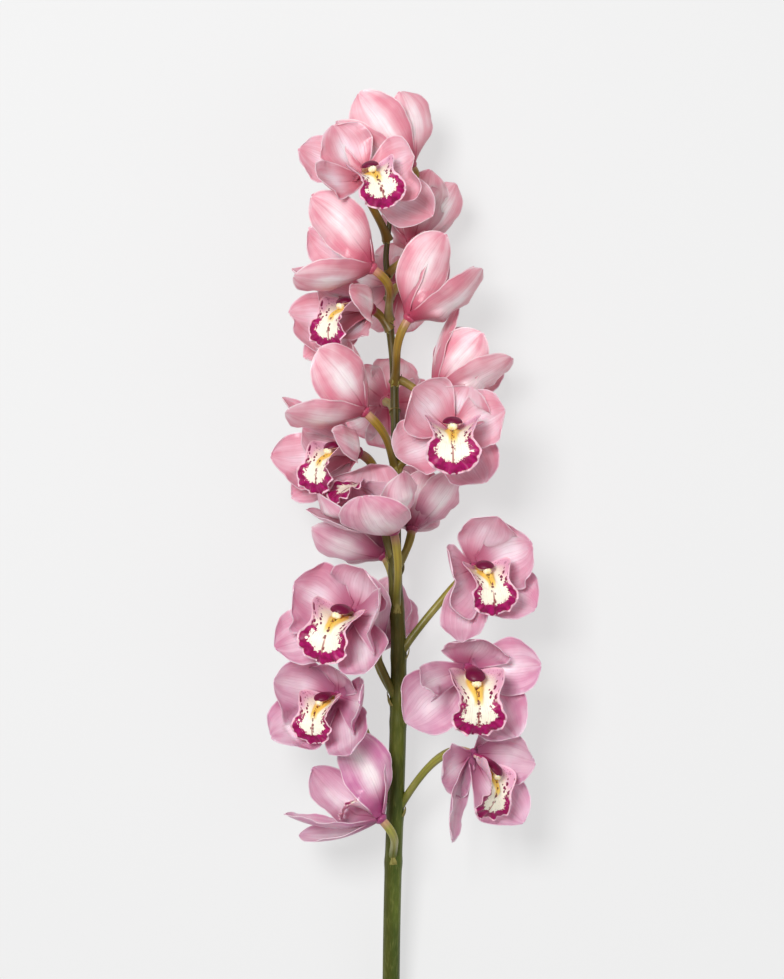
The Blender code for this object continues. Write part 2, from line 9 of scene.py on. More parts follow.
import bpy
import numpy as np
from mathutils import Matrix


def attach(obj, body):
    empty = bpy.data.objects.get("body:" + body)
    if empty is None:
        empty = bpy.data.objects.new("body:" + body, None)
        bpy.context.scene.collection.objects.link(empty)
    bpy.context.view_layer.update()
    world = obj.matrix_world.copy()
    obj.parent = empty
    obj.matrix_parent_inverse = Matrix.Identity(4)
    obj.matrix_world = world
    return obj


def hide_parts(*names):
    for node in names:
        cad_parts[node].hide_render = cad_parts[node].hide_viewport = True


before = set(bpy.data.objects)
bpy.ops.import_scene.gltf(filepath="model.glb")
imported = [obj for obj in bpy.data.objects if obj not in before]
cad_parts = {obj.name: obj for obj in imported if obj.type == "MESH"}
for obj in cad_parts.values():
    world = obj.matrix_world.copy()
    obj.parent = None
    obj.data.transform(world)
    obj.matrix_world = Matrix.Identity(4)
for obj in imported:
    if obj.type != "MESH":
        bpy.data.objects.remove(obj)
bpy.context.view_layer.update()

MM = 0.001
MIDDLE = (8.8974, 359.5558, 0.0)

# How finely the surfaces are divided, in rows and columns: fewer while trying things
TEPAL_GRID = ((38, 23))
LIP_GRID = ((66, 39))
COLUMN_GRID = ((28, 28))
STALK_GRID = ((420, 32))
PEDICEL_GRID = ((40, 24))
SCALE_GRID = ((14, 9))
PATH_STEPS = 400
RIM_POINTS = 90
SHARP_EDGE_DEGREES = 70

# Relief that the fine surfaces add
TEPAL_THICKNESS = 0.75
MARGIN_WAVE = 1.1
MARGIN_RIPPLE = 0.22
MIDRIB_GROOVE = 0.45
LIP_THICKNESS = 0.8
RUFFLE = 2.03
RUFFLES = 10
LOBE_WAVE = 0.5
WAIST_NOTCH = 3.2
SCALLOP = 0.8
SCALLOPS = 13
KEEL_HEIGHT = 2.1
KEEL_WIDTH = 1.5
KEEL_APART = 3.2
CAP_CREASE = 0.10
OVARY_RIB = 0.07
OVARY_RIBS = 6
STALK_RIB = 0.012
STALK_RIBS = 9
NODE_SWELLING = 0.07

# Stem: its height rises from the cut end, which touches the surface, to the part that the blooms carry.
STEM_HEIGHT_AT_CUT = 6.1
STEM_RISE = 50.0
STEM_RISE_OVER = 420.0
STEM_LENGTH = 645.0
STEM_SIDE_Y = (0, 95, 180, 215, 282, 342, 378, 457, 492, 535, 554, 587, 604, 620, 645)
STEM_SIDE_X = (-0.7, -0.7, 0.9, 2.1, 4.2, 4.2, 2.3, 2.8, 2.1, 0.7, -1.4, -2.8, -4.2, -2.8, 0.7)
STEM_RADIUS_Y = (0, 95, 295, 365, 456, 505, 575, 617, 645)
STEM_RADIUS = (6.1, 6.1, 5.7, 5.0, 3.3, 3.0, 2.5, 1.9, 1.5)
STEM_CLEAR = 1.3

# Pedicels, the gap between each and its bloom, and the small dry scale under each
PEDICEL_RADIUS_FOOT = 2.7
PEDICEL_RADIUS_OVARY = 3.1
SEAT_GAP = 0.35
SCALE_LENGTH = 9.0
SCALE_WIDTH = 5.67
SCALE_THICKNESS = 0.5

# Receptacle, in which the five tepals of a bloom are rooted
CORE_FOOT = -2.6
CORE_TOP = 2.2
CORE_RADIUS = 3.05
CORE_BULGE = 1.6
ROOT_RADIUS = 3.0

# Tepals: turn and cup are angles, and rise is how far up the receptacle they are rooted.
TEPALS = {
    "dorsal": dict(length=58, width=36, turn=46, cup=30, rise=0.0),
    "petal_right": dict(length=58, width=37, turn=44, cup=26, rise=1.5),
    "petal_left": dict(length=58, width=37, turn=44, cup=26, rise=1.5),
    "sepal_right": dict(length=60, width=39, turn=46, cup=28, rise=0.0),
    "sepal_left": dict(length=60, width=39, turn=46, cup=28, rise=0.0),
}
TEPAL_WIDEST = 0.56

# Lip and column; a root is how far out and up from the bloom's centre it starts.
LIP_LENGTH = 64.0
LIP_ROOT = (4.6, -1.6)
LIP_STATIONS = (0, 0.38, 0.60, 0.76)
LIP_HALF_WIDTHS = (4, 24, 15, 19.5)
LIP_WIDEST = LIP_STATIONS[-1]
LIP_DROP = 6.0
COLUMN_LENGTH = 32.5
COLUMN_START = 2.6
COLUMN_ROOT = (COLUMN_START, 0.5)
CAP_RADII = (3.4, 2.8, 3.2)
CAP_POLES = (12, 168)

# Where a petal would meet the surface under the stem, it bends along it.
TABLE_BEND = 4.0
TABLE_CLEAR = 1.3
RESTING_CLEAR = 0.5
RESTING_BLOOM = 13

# Order of the materials on a bloom's tepals, on its lip and on the stem
TEPAL_IN, TEPAL_OUT = 0, 1
LIP_IN, LIP_OUT, COLUMN, CAP = 0, 1, 2, 3
STALK, PEDICEL, SCALE, CUT = 0, 1, 2, 3

# Colours of the tepals, as 0 to 255 values, from the lowest blooms to the top ones, and how strongly each
# shows. The pale colour also paints a highlight down each tepal's middle.
TEPAL_LOOKS = {
    "tepal inside": dict(
        low=(206, 148, 176), top=(221, 147, 161), deep_low=(158, 70, 110), deep_top=(172, 66, 88),
        pale=(244, 222, 230), root_share=0.60, vein_share=0.34, rim_share=0.55, cloud_and_highlight_share=0.85,
    ),
    "tepal outside": dict(
        low=(204, 128, 170), top=(224, 141, 157), deep_low=(152, 58, 108), deep_top=(172, 60, 88),
        pale=(255, 234, 237), root_share=0.80, vein_share=0.30, rim_share=0.60, cloud_and_highlight_share=0.86,
    ),
}
TEPAL_VEINS = 10.0
LIP_VEINS = 11.0

# Each bloom has a tone between 0 and 1, and each of its tepals another, so that no two are alike.
BLOOM_TONE_STEP = 0.618
TEPAL_TONE_STEP = 0.37
STALK_TONE = 0.3

# Light, floor and camera
FLOOR_COLOUR = (131, 131, 131)
FLOOR_GLOW = 0.60
FLOOR_SIZE = 24.0
FLOOR_DROP = 0.0003
WORLD_STRENGTH = 0.34
CAMERA_ALONG = 442.5
CAMERA_HEIGHT = 2050.0
CAMERA_LENS = 131.19
CAMERA_SENSOR = 36.0
LAMP_AIM = (0.0, 0.08, 0.06)
KEY_PLACE = (-0.65, 0.75, 2.3)
KEY_SIZE = 0.8
KEY_POWER = 55.0
FILL_PLACE = (1.4, -0.5, 1.7)
FILL_SIZE = 1.6
FILL_POWER = 7.0


def tip(right, along, forward, **shape):
    """A tepal's tip: its place from the bloom's centre, and the share of its length that goes towards +z."""
    return dict(tip=(right, along, forward), **shape)


def bloom(centre, facing, foot, lip=1.0, length=None, **tepals):
    """A bloom: its centre, its face's yaw, pitch and roll, its pedicel's foot on the stem, and its tepals."""
    return dict(centre=centre, facing=facing, foot=foot, lip=lip, length=length, tepals=tepals)


# The blooms from the lowest to the top one
BLOOMS = (
    bloom((-8, 215, 73), (-90, 48, -12), 180, lip=0.5,
          dorsal=tip(-8, 57, -0.7),
          petal_right=tip(-23, 59, 0.5, twist=-62, width=38, turn=30, length=66),
          petal_left=tip(-48, 33, -1, turn=80),
          sepal_right=tip(-66, 3, 0.4),
          sepal_left=tip(-57, -14, -1)),
    bloom((56, 259, 72), (45, -15, -18), 214, lip=0.85,
          dorsal=tip(19, 13, 0),
          petal_right=tip(42, -4, 0.3, width=42),
          petal_left=tip(-22, -16, 0.3, width=48),
          sepal_right=tip(35, -47, 0.1, width=42),
          sepal_left=tip(-15, -57, 1, width=30, twist=-18)),
    bloom((52, 319, 80), (10, 0, 0), 280, lip=1.0,
          dorsal=tip(9, 21, 0.5, width=50),
          petal_right=tip(50, 3, 0.4, width=42),
          petal_left=tip(-31, -9, 1, width=26, twist=30),
          sepal_right=tip(33, -46, 0.55, width=46),
          sepal_left=tip(-43, -36, 0.5, width=52, cup=36)),
    bloom((-38, 299, 66), (-26, 8, -4), 224, lip=0.80,
          dorsal=tip(-4, 22, 0.4, width=42),
          petal_right=tip(16, -2, 0.9, turn=60),
          petal_left=tip(-43, 12, 0.6, width=42),
          sepal_right=tip(10, -36, 0.9),
          sepal_left=tip(-45, -26, 0.6, width=44)),
    bloom((-27, 356, 80), (-16, 16, -14), 293, lip=0.98,
          dorsal=tip(8, 32, 0.5, width=50),
          petal_right=tip(17, 6, 1),
          petal_left=tip(-40, 22, 0.5, width=50),
          sepal_right=tip(10, -36, 0.9),
          sepal_left=tip(-53, -22, 0.6, width=46)),
    bloom((-10, 331, 46), (175, 62, 0), 295, lip=0.5,
          dorsal=tip(-11, 53, 0.6),
          petal_right=tip(-24, 50, -0.1),
          petal_left=tip(12, 50, -0.3),
          sepal_right=tip(-24, 36, -0.8, turn=70),
          sepal_left=tip(17, 33, -0.9, turn=80)),
    bloom((57, 388, 75), (15, 12, 5), 326, lip=0.87,
          dorsal=tip(15, 36, 0.5, width=44),
          petal_right=tip(39, 16, 0.5, width=46),
          petal_left=tip(-15, -4, 0.6, width=44),
          sepal_right=tip(41, -27, 0.5, width=44),
          sepal_left=tip(-9, -49, 1, twist=25, width=34)),
    bloom((-6, 396, 44), (-125, 50, 0), 364, lip=0.5,
          dorsal=tip(-17, 52, -0.4),
          petal_right=tip(-38, 40, 0.3),
          petal_left=tip(-22, 40, -0.9, turn=84),
          sepal_right=tip(-50, 19, 0.4),
          sepal_left=tip(-42, 18, -0.9, turn=70)),
    bloom((1, 414, 85), (-60, 76, 0), 358, lip=0.95,
          dorsal=tip(-16, 46, -0.1, width=42),
          petal_right=tip(3, 40, 0.4),
          petal_left=tip(-46, 27, 0.5, width=42),
          sepal_right=tip(-21, 24, 1, width=52, cup=34, turn=80),
          sepal_left=tip(-59, 15, 0, width=46, cup=20)),
    bloom((14, 415, 46), (165, 58, 0), 385, lip=0.45,
          dorsal=tip(13, 41, 0.1),
          petal_right=tip(-6, 44, -0.3),
          petal_left=tip(31, 38, 0),
          sepal_right=tip(-14, 32, -0.8),
          sepal_left=tip(28, 27, -0.8)),
    bloom((-24, 468, 67), (-44, 16, 0), 393, lip=0.88,
          dorsal=tip(-38, 18, -0.1),
          petal_right=tip(-16, 13, 1, width=24, twist=30),
          petal_left=tip(-60, -2, 0.4),
          sepal_right=tip(-20, -15, -0.35, width=40),
          sepal_left=tip(-46, -30, -0.2)),
    bloom((41, 482, 85), (0, 20, 0), 456, lip=0.98, length=50,
          dorsal=tip(12, 31, 0.15, width=46),
          petal_right=tip(36, 15, 0.5, width=44),
          petal_left=tip(-27, 28, 0.6, width=50),
          sepal_right=tip(22, -35, 0.4, width=44),
          sepal_left=tip(-38, -17, 0.6, width=46)),
    bloom((-4, 504, 36), (180, 0, -50), 497, lip=0.5,
          dorsal=tip(-26, 22, -1),
          petal_right=tip(-29, -15, -1),
          petal_left=tip(10, 33, -1),
          sepal_right=tip(5, -33, -1),
          sepal_left=tip(34, 0, -1)),
    bloom((-19, 496, 88), (-90, 42, -5), 456, lip=0.56,
          dorsal=tip(-11, 49, -0.2),
          petal_right=tip(-31, 41, 1, width=42),
          petal_left=tip(-33, 43, -0.1),
          sepal_right=tip(-53, -1, 1),
          sepal_left=tip(-57, 10, -0.4, turn=84, width=32)),
    bloom((31, 513, 56), (95, 48, 0), 517, lip=0.5,
          dorsal=tip(16, 59, 0),
          petal_right=tip(27, 42, -1),
          petal_left=tip(31, 38, 0.6),
          sepal_right=tip(46, 18, -1),
          sepal_left=tip(52, 21, 0.5)),
    bloom((-15, 568, 62), (-44, 16, 0), 554, lip=0.90,
          dorsal=tip(-36, 15, 0),
          petal_right=tip(-14, 9, 1, width=24, twist=30),
          petal_left=tip(-56, -4, 0.4),
          sepal_right=tip(-20, -20, 0.1, width=40),
          sepal_left=tip(-46, -34, -0.2)),
    bloom((12, 561, 79), (95, 57, 0), 517, lip=0.45,
          dorsal=tip(10, 60, -0.2, twist=30),
          petal_right=tip(22, 52, -1),
          petal_left=tip(24, 57, 0.5, twist=55, turn=38, length=63),
          sepal_right=tip(44, 36, -0.3, width=30, turn=84),
          sepal_left=tip(50, 33, 0.6, twist=5, turn=70, width=44)),
    bloom((-14, 594, 94), (-90, 35, -9), 561, lip=0.45,
          dorsal=tip(-23, 52, -0.8),
          petal_right=tip(-41, 47, 0.69, twist=-54, turn=34, width=36, length=65),
          petal_left=tip(-44, 28, -0.7, turn=70),
          sepal_right=tip(-52, -8, 1),
          sepal_left=tip(-55, 0, -0.4, turn=70)),
    bloom((3, 584, 44), (180, 0, -135), 575, lip=0.5,
          dorsal=tip(-25, -21, -1),
          petal_right=tip(12, -28, -1),
          petal_left=tip(-32, 14, -1),
          sepal_right=tip(36, 3, -1),
          sepal_left=tip(3, 36, -1)),
    bloom((14, 614, 47), (165, 58, 6), 592, lip=0.5,
          dorsal=tip(13, 52, 0.25),
          petal_right=tip(-14, 48, -0.15),
          petal_left=tip(31, 43, 0),
          sepal_right=tip(-14, 37, -0.75, turn=66),
          sepal_left=tip(27, 33, -0.8, turn=72)),
    bloom((-19, 656, 92), (8, 20, 15), 617, lip=0.86, length=50,
          dorsal=tip(-21, 36, 0.1, width=42),
          petal_right=tip(34, 12, 0.6, width=44),
          petal_left=tip(-44, 20, 0.3),
          sepal_right=tip(47, -26, 0.6, width=42),
          sepal_left=tip(-31, -3, 1, width=30)),
    bloom((13, 668, 62), (-100, 56, 0), 645, lip=0.5,
          dorsal=tip(-7, 51, 0.1, twist=-45, width=40),
          petal_right=tip(-36, 48, 0.6, width=40, length=64),
          petal_left=tip(-27, 49, -1),
          sepal_right=tip(-52, 28, 0.6),
          sepal_left=tip(-48, 31, -1)),
)


# Curves and directions

def ease(x, low, high):
    """0 below low, 1 above high, with a smooth step between."""
    f = np.clip((x - low) / (high - low), 0.0, 1.0)
    return f * f * (3.0 - 2.0 * f)


def stepped(s, knots, values):
    """A curve level at each knot, eased from one value to the next."""
    total = np.full(np.shape(s), float(values[0]))
    for low, high, a, b in zip(knots[:-1], knots[1:], values[:-1], values[1:]):
        total = total + (b - a) * ease(s, low, high)
    return total


def through(x, knots, values):
    """A smooth curve through the knots: a cubic on each stretch, its slopes taken from the neighbours."""
    knots = np.asarray(knots, float)
    values = np.asarray(values, float)
    slopes = np.gradient(values, knots)
    k = np.clip(np.searchsorted(knots, x, side="right") - 1, 0, len(knots) - 2)
    h = knots[k + 1] - knots[k]
    t = np.clip((x - knots[k]) / h, 0.0, 1.0)
    a = (2 * t**3 - 3 * t**2 + 1) * values[k] + (t**3 - 2 * t**2 + t) * h * slopes[k]
    b = (3 * t**2 - 2 * t**3) * values[k + 1] + (t**3 - t**2) * h * slopes[k + 1]
    return a + b


def unit(v):
    """The same direction at length 1."""
    return v / (np.linalg.norm(v, axis=-1, keepdims=True) + 1e-12)


def face_axes(facing):
    """Rows: the bloom's right, its up and the way it faces. Yaw 0 and pitch 0 face +z with up along +y."""
    yaw, pitch, roll = np.radians(facing)
    out = np.array([np.sin(yaw) * np.cos(pitch), np.sin(pitch), np.cos(yaw) * np.cos(pitch)])
    up = np.array([-np.sin(yaw) * np.sin(pitch), np.cos(pitch), -np.cos(yaw) * np.sin(pitch)])
    right = np.cross(up, out)
    turned_up = np.cos(roll) * up - np.sin(roll) * right
    turned_right = np.cos(roll) * right + np.sin(roll) * up
    return np.array([turned_right, turned_up, out])


def path(s, start, slopes, length):
    """Points of a curve in the bloom's plane of symmetry; slopes(s) is its angle below the facing direction.

    How far out it is adds up short steps times the cosine of that angle, and how far up, less their sine.
    """
    fine = np.linspace(0.0, 1.0, PATH_STEPS + 1)
    angle = slopes(fine)
    heading = np.stack([np.cos(angle), -np.sin(angle)])
    run = np.cumsum((heading[:, 1:] + heading[:, :-1]) / 2, axis=1) * (length / PATH_STEPS)
    out, up = np.array(start)[:, None] + np.concatenate([np.zeros((2, 1)), run], axis=1)
    return np.interp(s, fine, out), np.interp(s, fine, up), slopes(s)


def arched(half, curl, t):
    """How far across and up point t lies on a cross-section bent into an arc; curl is half the arc's angle."""
    return half * np.sin(curl * t) / curl, half * (1 - np.cos(curl * t)) / curl


def scaled(points, middle, factor):
    """Points drawn in towards a middle, or pushed out from it."""
    return middle + (points - middle) * factor[..., None]


# Stem and pedicels

def stem_axis(y):
    """The middle of the stalk: its side-way bends through their knots, its height a quarter of a sine."""
    x = through(y, STEM_SIDE_Y, STEM_SIDE_X)
    z = STEM_HEIGHT_AT_CUT + STEM_RISE * np.sin(np.pi / 2 * np.clip(y / STEM_RISE_OVER, 0.0, 1.0))
    return np.stack([x, y + 0.0 * x, z], -1)


def stem_radius(y):
    """Thick at the cut and thin at the top, through its knots."""
    return through(y, STEM_RADIUS_Y, STEM_RADIUS)


def tube(centres, along, side, radii, sides):
    """Rings of points round a line, square to its direction."""
    a = unit(side - along * np.sum(side * along, -1, keepdims=True))
    b = np.cross(along, a)
    turn = (np.arange(sides) / sides * 2 * np.pi)[None, :, None]
    return centres[:, None] + radii[:, None, None] * (np.cos(turn) * a[:, None] + np.sin(turn) * b[:, None])


def pedicel_curve(flower, s):
    """A cubic from the stem's axis to just under the bloom, which it enters square."""
    axes = face_axes(flower["facing"])
    foot = stem_axis(float(flower["foot"]))
    head = np.array(flower["centre"], float) + (CORE_FOOT - SEAT_GAP) * axes[2]
    reach = np.linalg.norm(head - foot)
    out = unit((head - foot) * np.array([1.0, 0.0, 1.0]))
    near_foot = foot + (out * 0.55 + np.array([0.0, 0.8, 0.0])) * reach * 0.35
    near_head = head - axes[2] * reach * 0.4
    s = s[:, None]
    r = 1 - s
    points = r**3 * foot + 3 * r**2 * s * near_foot + 3 * r * s**2 * near_head + s**3 * head
    along = r**2 * (near_foot - foot) + 2 * r * s * (near_head - near_foot) + s**2 * (head - near_head)
    side = np.cross(head - foot, axes[2]) / reach + 0.05 * axes[0]
    return points, unit(along), side


def pedicel_radius(s):
    """Thin at the foot, eased to the thicker ovary."""
    return PEDICEL_RADIUS_FOOT + (PEDICEL_RADIUS_OVARY - PEDICEL_RADIUS_FOOT) * ease(s, 0.5, 0.9)


# Tepals, lip and column, in the bloom's own axes

def tepal_values(flower, kind):
    """The tepal's dimensions, with its angle, reach and length worked out from where its tip lies."""
    values = dict(TEPALS[kind])
    if flower["length"]:
        values["length"] = flower["length"]
    values.update(flower["tepals"][kind])
    right, along, forward = values.pop("tip")
    full = values["length"] + ROOT_RADIUS
    rise = forward * np.sqrt(max(full**2 - right**2 - along**2, 0.0))
    local = face_axes(flower["facing"]) @ np.array([right, along, rise])
    outward = np.hypot(local[0], local[1]) - ROOT_RADIUS
    forwards = local[2] - values["rise"]
    values["angle"] = np.degrees(np.arctan2(local[1], local[0]))
    values["length"] = np.hypot(outward, forwards)
    values["reach"] = np.degrees(np.arctan2(outward, forwards))
    return values


def tepal_half_width(s, width):
    """A third of the half width at the root, widened by a sine to the widest place, then rounded to the tip."""
    lower = 0.34 + 0.66 * np.sin(np.pi / 2 * np.clip(s / TEPAL_WIDEST, 0.0, 1.0)) ** 1.15
    upper = (1.0 - np.clip((s - TEPAL_WIDEST) / (1 - TEPAL_WIDEST), 0.0, 1.0) ** 2.3) ** 0.60
    return width / 2 * lower * upper


def tepal_surface(s, t, angle, length, width, turn, reach, cup, rise, twist=0.0):
    """An arc from root to tip that turns by `turn`, with an arched cross-section; twist grows from the root."""
    start = np.radians(reach + turn / 2)
    bend = -np.radians(turn)
    arc = length * (abs(bend) / 2) / np.sin(abs(bend) / 2)
    lean = start + bend * s
    outward = arc * (np.cos(start) - np.cos(lean)) / bend
    forward = arc * (np.sin(lean) - np.sin(start)) / bend
    across, lift = arched(tepal_half_width(s, width), np.radians(cup) * (1 + 0.7 * (1 - s) ** 3), t)
    spin = np.radians(twist) * (1 - (1 - s) ** 3)
    across, lift = across * np.cos(spin) - lift * np.sin(spin), across * np.sin(spin) + lift * np.cos(spin)
    out = ROOT_RADIUS + outward - lift * np.cos(lean)
    a = np.radians(angle)
    x = out * np.cos(a) - across * np.sin(a)
    y = out * np.sin(a) + across * np.cos(a)
    return np.stack([x, y, rise + forward + lift * np.sin(lean)], -1)


def lip_slopes(s):
    """The lip's midline starts downwards, levels, then curls down at its mid-lobe."""
    return np.radians(10 + 120 * np.sin(np.pi / 2 * s**1.5) ** 2 + 45 * np.exp(-s / 0.07))


def lip_round(s, power, root):
    """1 up to the mid-lobe's widest place, then drawn in to 0 at the tip."""
    past = np.clip((s - LIP_WIDEST) / (1 - LIP_WIDEST), 0.0, 1.0)
    return np.clip(1 - past**power, 0.0, 1.0) ** root


def lip_surface(s, t):
    """Two upright side lobes, then the narrow waist and the round mid-lobe that curls down."""
    out, up, angle = path(s, LIP_ROOT, lip_slopes, LIP_LENGTH)
    half = stepped(s, LIP_STATIONS, LIP_HALF_WIDTHS) * lip_round(s, 1.9, 0.55)
    curl = np.radians(stepped(s, (0, 0.36, 0.64, 0.80, 1.0), (100, 66, 40, 16, 8)))
    across, lift = arched(half, curl, t)
    return np.stack([across, up + lift * np.cos(angle), out + lift * np.sin(angle)], -1)


def column_slopes(s):
    """The column starts level and bends down towards its end."""
    return np.radians(-4 + 42 * s**1.3)


def column_surface(s, a):
    """A rod that arches over the lip: round on top, hollowed flat below, widest near its end."""
    out, up, angle = path(s, COLUMN_ROOT, column_slopes, COLUMN_LENGTH)
    half = stepped(s, (0, 0.35, 0.82, 1.0), (3.0, 4.2, 7.0, 4.6))
    below = stepped(s, (0, 0.3), (0.85, 0.18))
    y = np.where(np.sin(a) > 0, 0.62, below) * half * np.sin(a)
    return np.stack([half * np.cos(a), up + y * np.cos(angle), out + y * np.sin(angle)], -1)


def cap_surface(s, a):
    """A ball squeezed to its three radii, under the column's end; s is the angle from its pole."""
    out, up, angle = path(np.array(0.97), COLUMN_ROOT, column_slopes, COLUMN_LENGTH)
    centre = np.array([0.0, up - 1.9 * np.cos(angle), out - 1.6 * np.sin(angle)])
    ball = np.stack([np.sin(s) * np.cos(a), np.sin(s) * np.sin(a), np.cos(s)], -1)
    return centre + ball * np.array(CAP_RADII)


# Room between neighbours

def at_least(away, room, softness):
    """The larger of a distance and the room it should be, rounded off where the two are alike."""
    return (away + room + np.sqrt((away - room) ** 2 + softness**2)) / 2


def clear_of_lip(points, scale):
    """Moves a tepal's points out from the bloom's axis where the lip needs the room."""
    right = points[..., 0] / scale
    up = points[..., 1] / scale + LIP_DROP
    out = points[..., 2] / scale
    away = np.hypot(right, up) + 1e-9
    down = np.clip(-up / away, 0.0, 1.0)
    room = 2.0 + 22.0 * ease(out, 3, 25) + 18.5 * ease(down, 0.20, 0.65) * ease(out, 5, 27)
    room = room * (1 - ease(out, 44, 56))
    wider = at_least(away, room, 3.0) / away
    return np.stack([right * wider * scale, (up * wider - LIP_DROP) * scale, points[..., 2]], -1)


def clear_of_stem(points):
    """Moves points away from the stem's axis where they would touch the stem."""
    y = points[..., 1]
    beside = np.clip(y, 0.0, STEM_LENGTH)
    axis = stem_axis(beside)
    room = (stem_radius(beside) + STEM_CLEAR) * (1 - ease(y, STEM_LENGTH, STEM_LENGTH + 6))
    dx = points[..., 0] - axis[..., 0]
    dz = points[..., 2] - axis[..., 2]
    away = np.hypot(dx, dz) + 1e-9
    wider = np.where(room > 0.1, at_least(away, room, 2.5), away) / away
    return np.stack([axis[..., 0] + dx * wider, y, axis[..., 2] + dz * wider], -1)


def lay_on_table(points, clear):
    """Bends what would go lower than `clear` so that it runs along the surface."""
    z = points[..., 2]
    bent = clear + np.clip(z - clear + TABLE_BEND, 0.0, 2 * TABLE_BEND) ** 2 / (4 * TABLE_BEND)
    points = points.copy()
    points[..., 2] = np.where(z < clear + TABLE_BEND, bent, z)
    return points


def in_place(points, flower):
    """Points of a bloom's own axes, turned to its facing and moved to its centre."""
    return points @ face_axes(flower["facing"]) + np.array(flower["centre"], float)


def lip_piece_in_place(flower, points):
    """Lip, column and cap are scaled by the bloom's lip size from the column's root."""
    root = np.array([0.0, 0.0, COLUMN_START])
    return lay_on_table(in_place((points - root) * flower["lip"] + root, flower), TABLE_CLEAR)


# Grids and their relief

def normals(grid):
    """The direction square to a grid: the step along it crossed with the step across it, made length 1."""
    along = np.gradient(grid, axis=0)
    across = np.gradient(grid, axis=1)
    across[-1] = across[-2]
    return unit(np.cross(along, across))


def to_margin(s, half, t, length):
    """Distance in mm of each grid point from the nearest point of an outline, with the piece laid out flat."""
    rim_s = np.linspace(0.0, 1.0, RIM_POINTS)
    across = (t * half(s))[..., None]
    dx = np.minimum(np.abs(across - half(rim_s)), np.abs(across + half(rim_s)))
    dy = (s[..., None] - rim_s) * length
    return np.sqrt(dx**2 + dy**2).min(axis=-1)


def grid_of(rows, columns, crowd=1.0):
    """s and t over a grid; crowd above 1 draws the rows together towards the tip."""
    s = 1.0 - (1.0 - np.linspace(0.0, 1.0, rows)) ** crowd
    return np.meshgrid(s, np.linspace(-1.0, 1.0, columns), indexing="ij")


def round_grid(rows, sides, low=0.0, high=1.0):
    """Rows from low to high, and the angle round each ring, over a grid."""
    return np.meshgrid(np.linspace(low, high, rows), np.arange(sides) / sides * 2 * np.pi, indexing="ij")


def tepal_relief(s, t, tone):
    """Each margin waves on its own beat, more towards the edge, and a groove runs down the middle."""
    beat = (1.6 + 1.4 * tone) * s + 3.0 * tone + np.where(t > 0, 0.0, 0.37)
    wave = MARGIN_WAVE * np.abs(t) ** 3 * ease(s, 0.15, 0.5) * np.sin(2 * np.pi * beat)
    ripple = MARGIN_RIPPLE * np.abs(t) ** 5 * ease(s, 0.2, 0.6) * np.sin(2 * np.pi * (3.1 * beat + tone))
    groove = MIDRIB_GROOVE * np.exp(-((t / 0.07) ** 2)) * (1 - 0.6 * s)
    return wave + ripple - groove


def tepal_piece(number, flower, kind, tone):
    """One tepal as a closed shell: its arc, pushed in and out by its relief, set clear of what it passes."""
    s, t = grid_of(*TEPAL_GRID, crowd=1.7)
    values = tepal_values(flower, kind)
    grid = tepal_surface(s, t, **values)
    grid = grid + normals(grid) * tepal_relief(s, t, tone)[..., None]
    grid = clear_of_lip(grid, flower["lip"])
    clear = RESTING_CLEAR if number == RESTING_BLOOM else TABLE_CLEAR
    grid = lay_on_table(clear_of_stem(in_place(grid, flower)), clear)
    margin = to_margin(s, lambda v: tepal_half_width(v, values["width"]), t, values["length"])
    thickness = TEPAL_THICKNESS * (0.45 + 0.55 * ease(margin, 0.0, 5.0)) + 0.5 * (1 - ease(s, 0.0, 0.3))
    return shell(grid, thickness, np.stack([s, t, margin], -1), tone, TEPAL_IN, TEPAL_OUT)


def lip_half(s):
    """Half the width that the lip's colours and ruffle follow: lobes, a notched waist, a scalloped mid-lobe."""
    notch = WAIST_NOTCH * np.exp(-(((s - 0.60) / 0.035) ** 2))
    scallop = SCALLOP * np.sin(2 * np.pi * SCALLOPS * s) * ease(s, 0.62, 0.72)
    return (stepped(s, LIP_STATIONS, LIP_HALF_WIDTHS) - notch + scallop) * lip_round(s, 1.5, 0.62)


def lip_relief(s, t, margin, tone):
    """Two keels along the throat and a ruffled rim: waves by the angle round the mid-lobe's middle."""
    across = t * lip_half(s)
    apart = KEEL_APART * (1.35 - 1.3 * np.clip(s, 0.1, 0.66))
    keel = np.exp(-(((np.abs(across) - apart) / KEEL_WIDTH) ** 2))
    keel = keel * ease(s, 0.06, 0.2) * (1 - ease(s, 0.56, 0.66))
    round_lobe = np.arctan2(across, (s - 0.70) * LIP_LENGTH)
    ruffle = np.sin(RUFFLES * round_lobe + 6 * tone) + 0.5 * np.sin(1.9 * RUFFLES * round_lobe + 9 * tone)
    rim = np.exp(-margin / 3.2) * ease(s, 0.58, 0.70)
    beside = np.exp(-margin / 3.0) * ease(s, 0.1, 0.3) * (1 - ease(s, 0.5, 0.6))
    lobes = beside * np.sin(2 * np.pi * (6 * s + tone))
    return KEEL_HEIGHT * keel + RUFFLE * rim * ruffle + LOBE_WAVE * lobes


def lip_piece(flower, tone):
    """The lip as a closed shell."""
    s, t = grid_of(*LIP_GRID, crowd=1.35)
    margin = to_margin(s, lip_half, t, LIP_LENGTH)
    grid = lip_surface(s, t)
    grid = lip_piece_in_place(flower, grid + normals(grid) * lip_relief(s, t, margin, tone)[..., None])
    thickness = LIP_THICKNESS * flower["lip"] * (0.4 + 0.6 * ease(margin, 0.0, 4.0))
    return shell(grid, thickness, np.stack([s, t, margin], -1), tone, LIP_IN, LIP_OUT)


def column_piece(flower, tone):
    """Rings round the column's arched line, drawn in to a rounded end."""
    s, a = round_grid(*COLUMN_GRID)
    rings = column_surface(s, a)
    drawn_in = np.sqrt(1 - 0.75 * np.clip((s - 0.90) / 0.10, 0, 1) ** 2)
    rings = scaled(rings, rings.mean(axis=1, keepdims=True), drawn_in)
    return ringed(lip_piece_in_place(flower, rings), np.stack([s, np.sin(a), 0 * s], -1), tone, COLUMN)


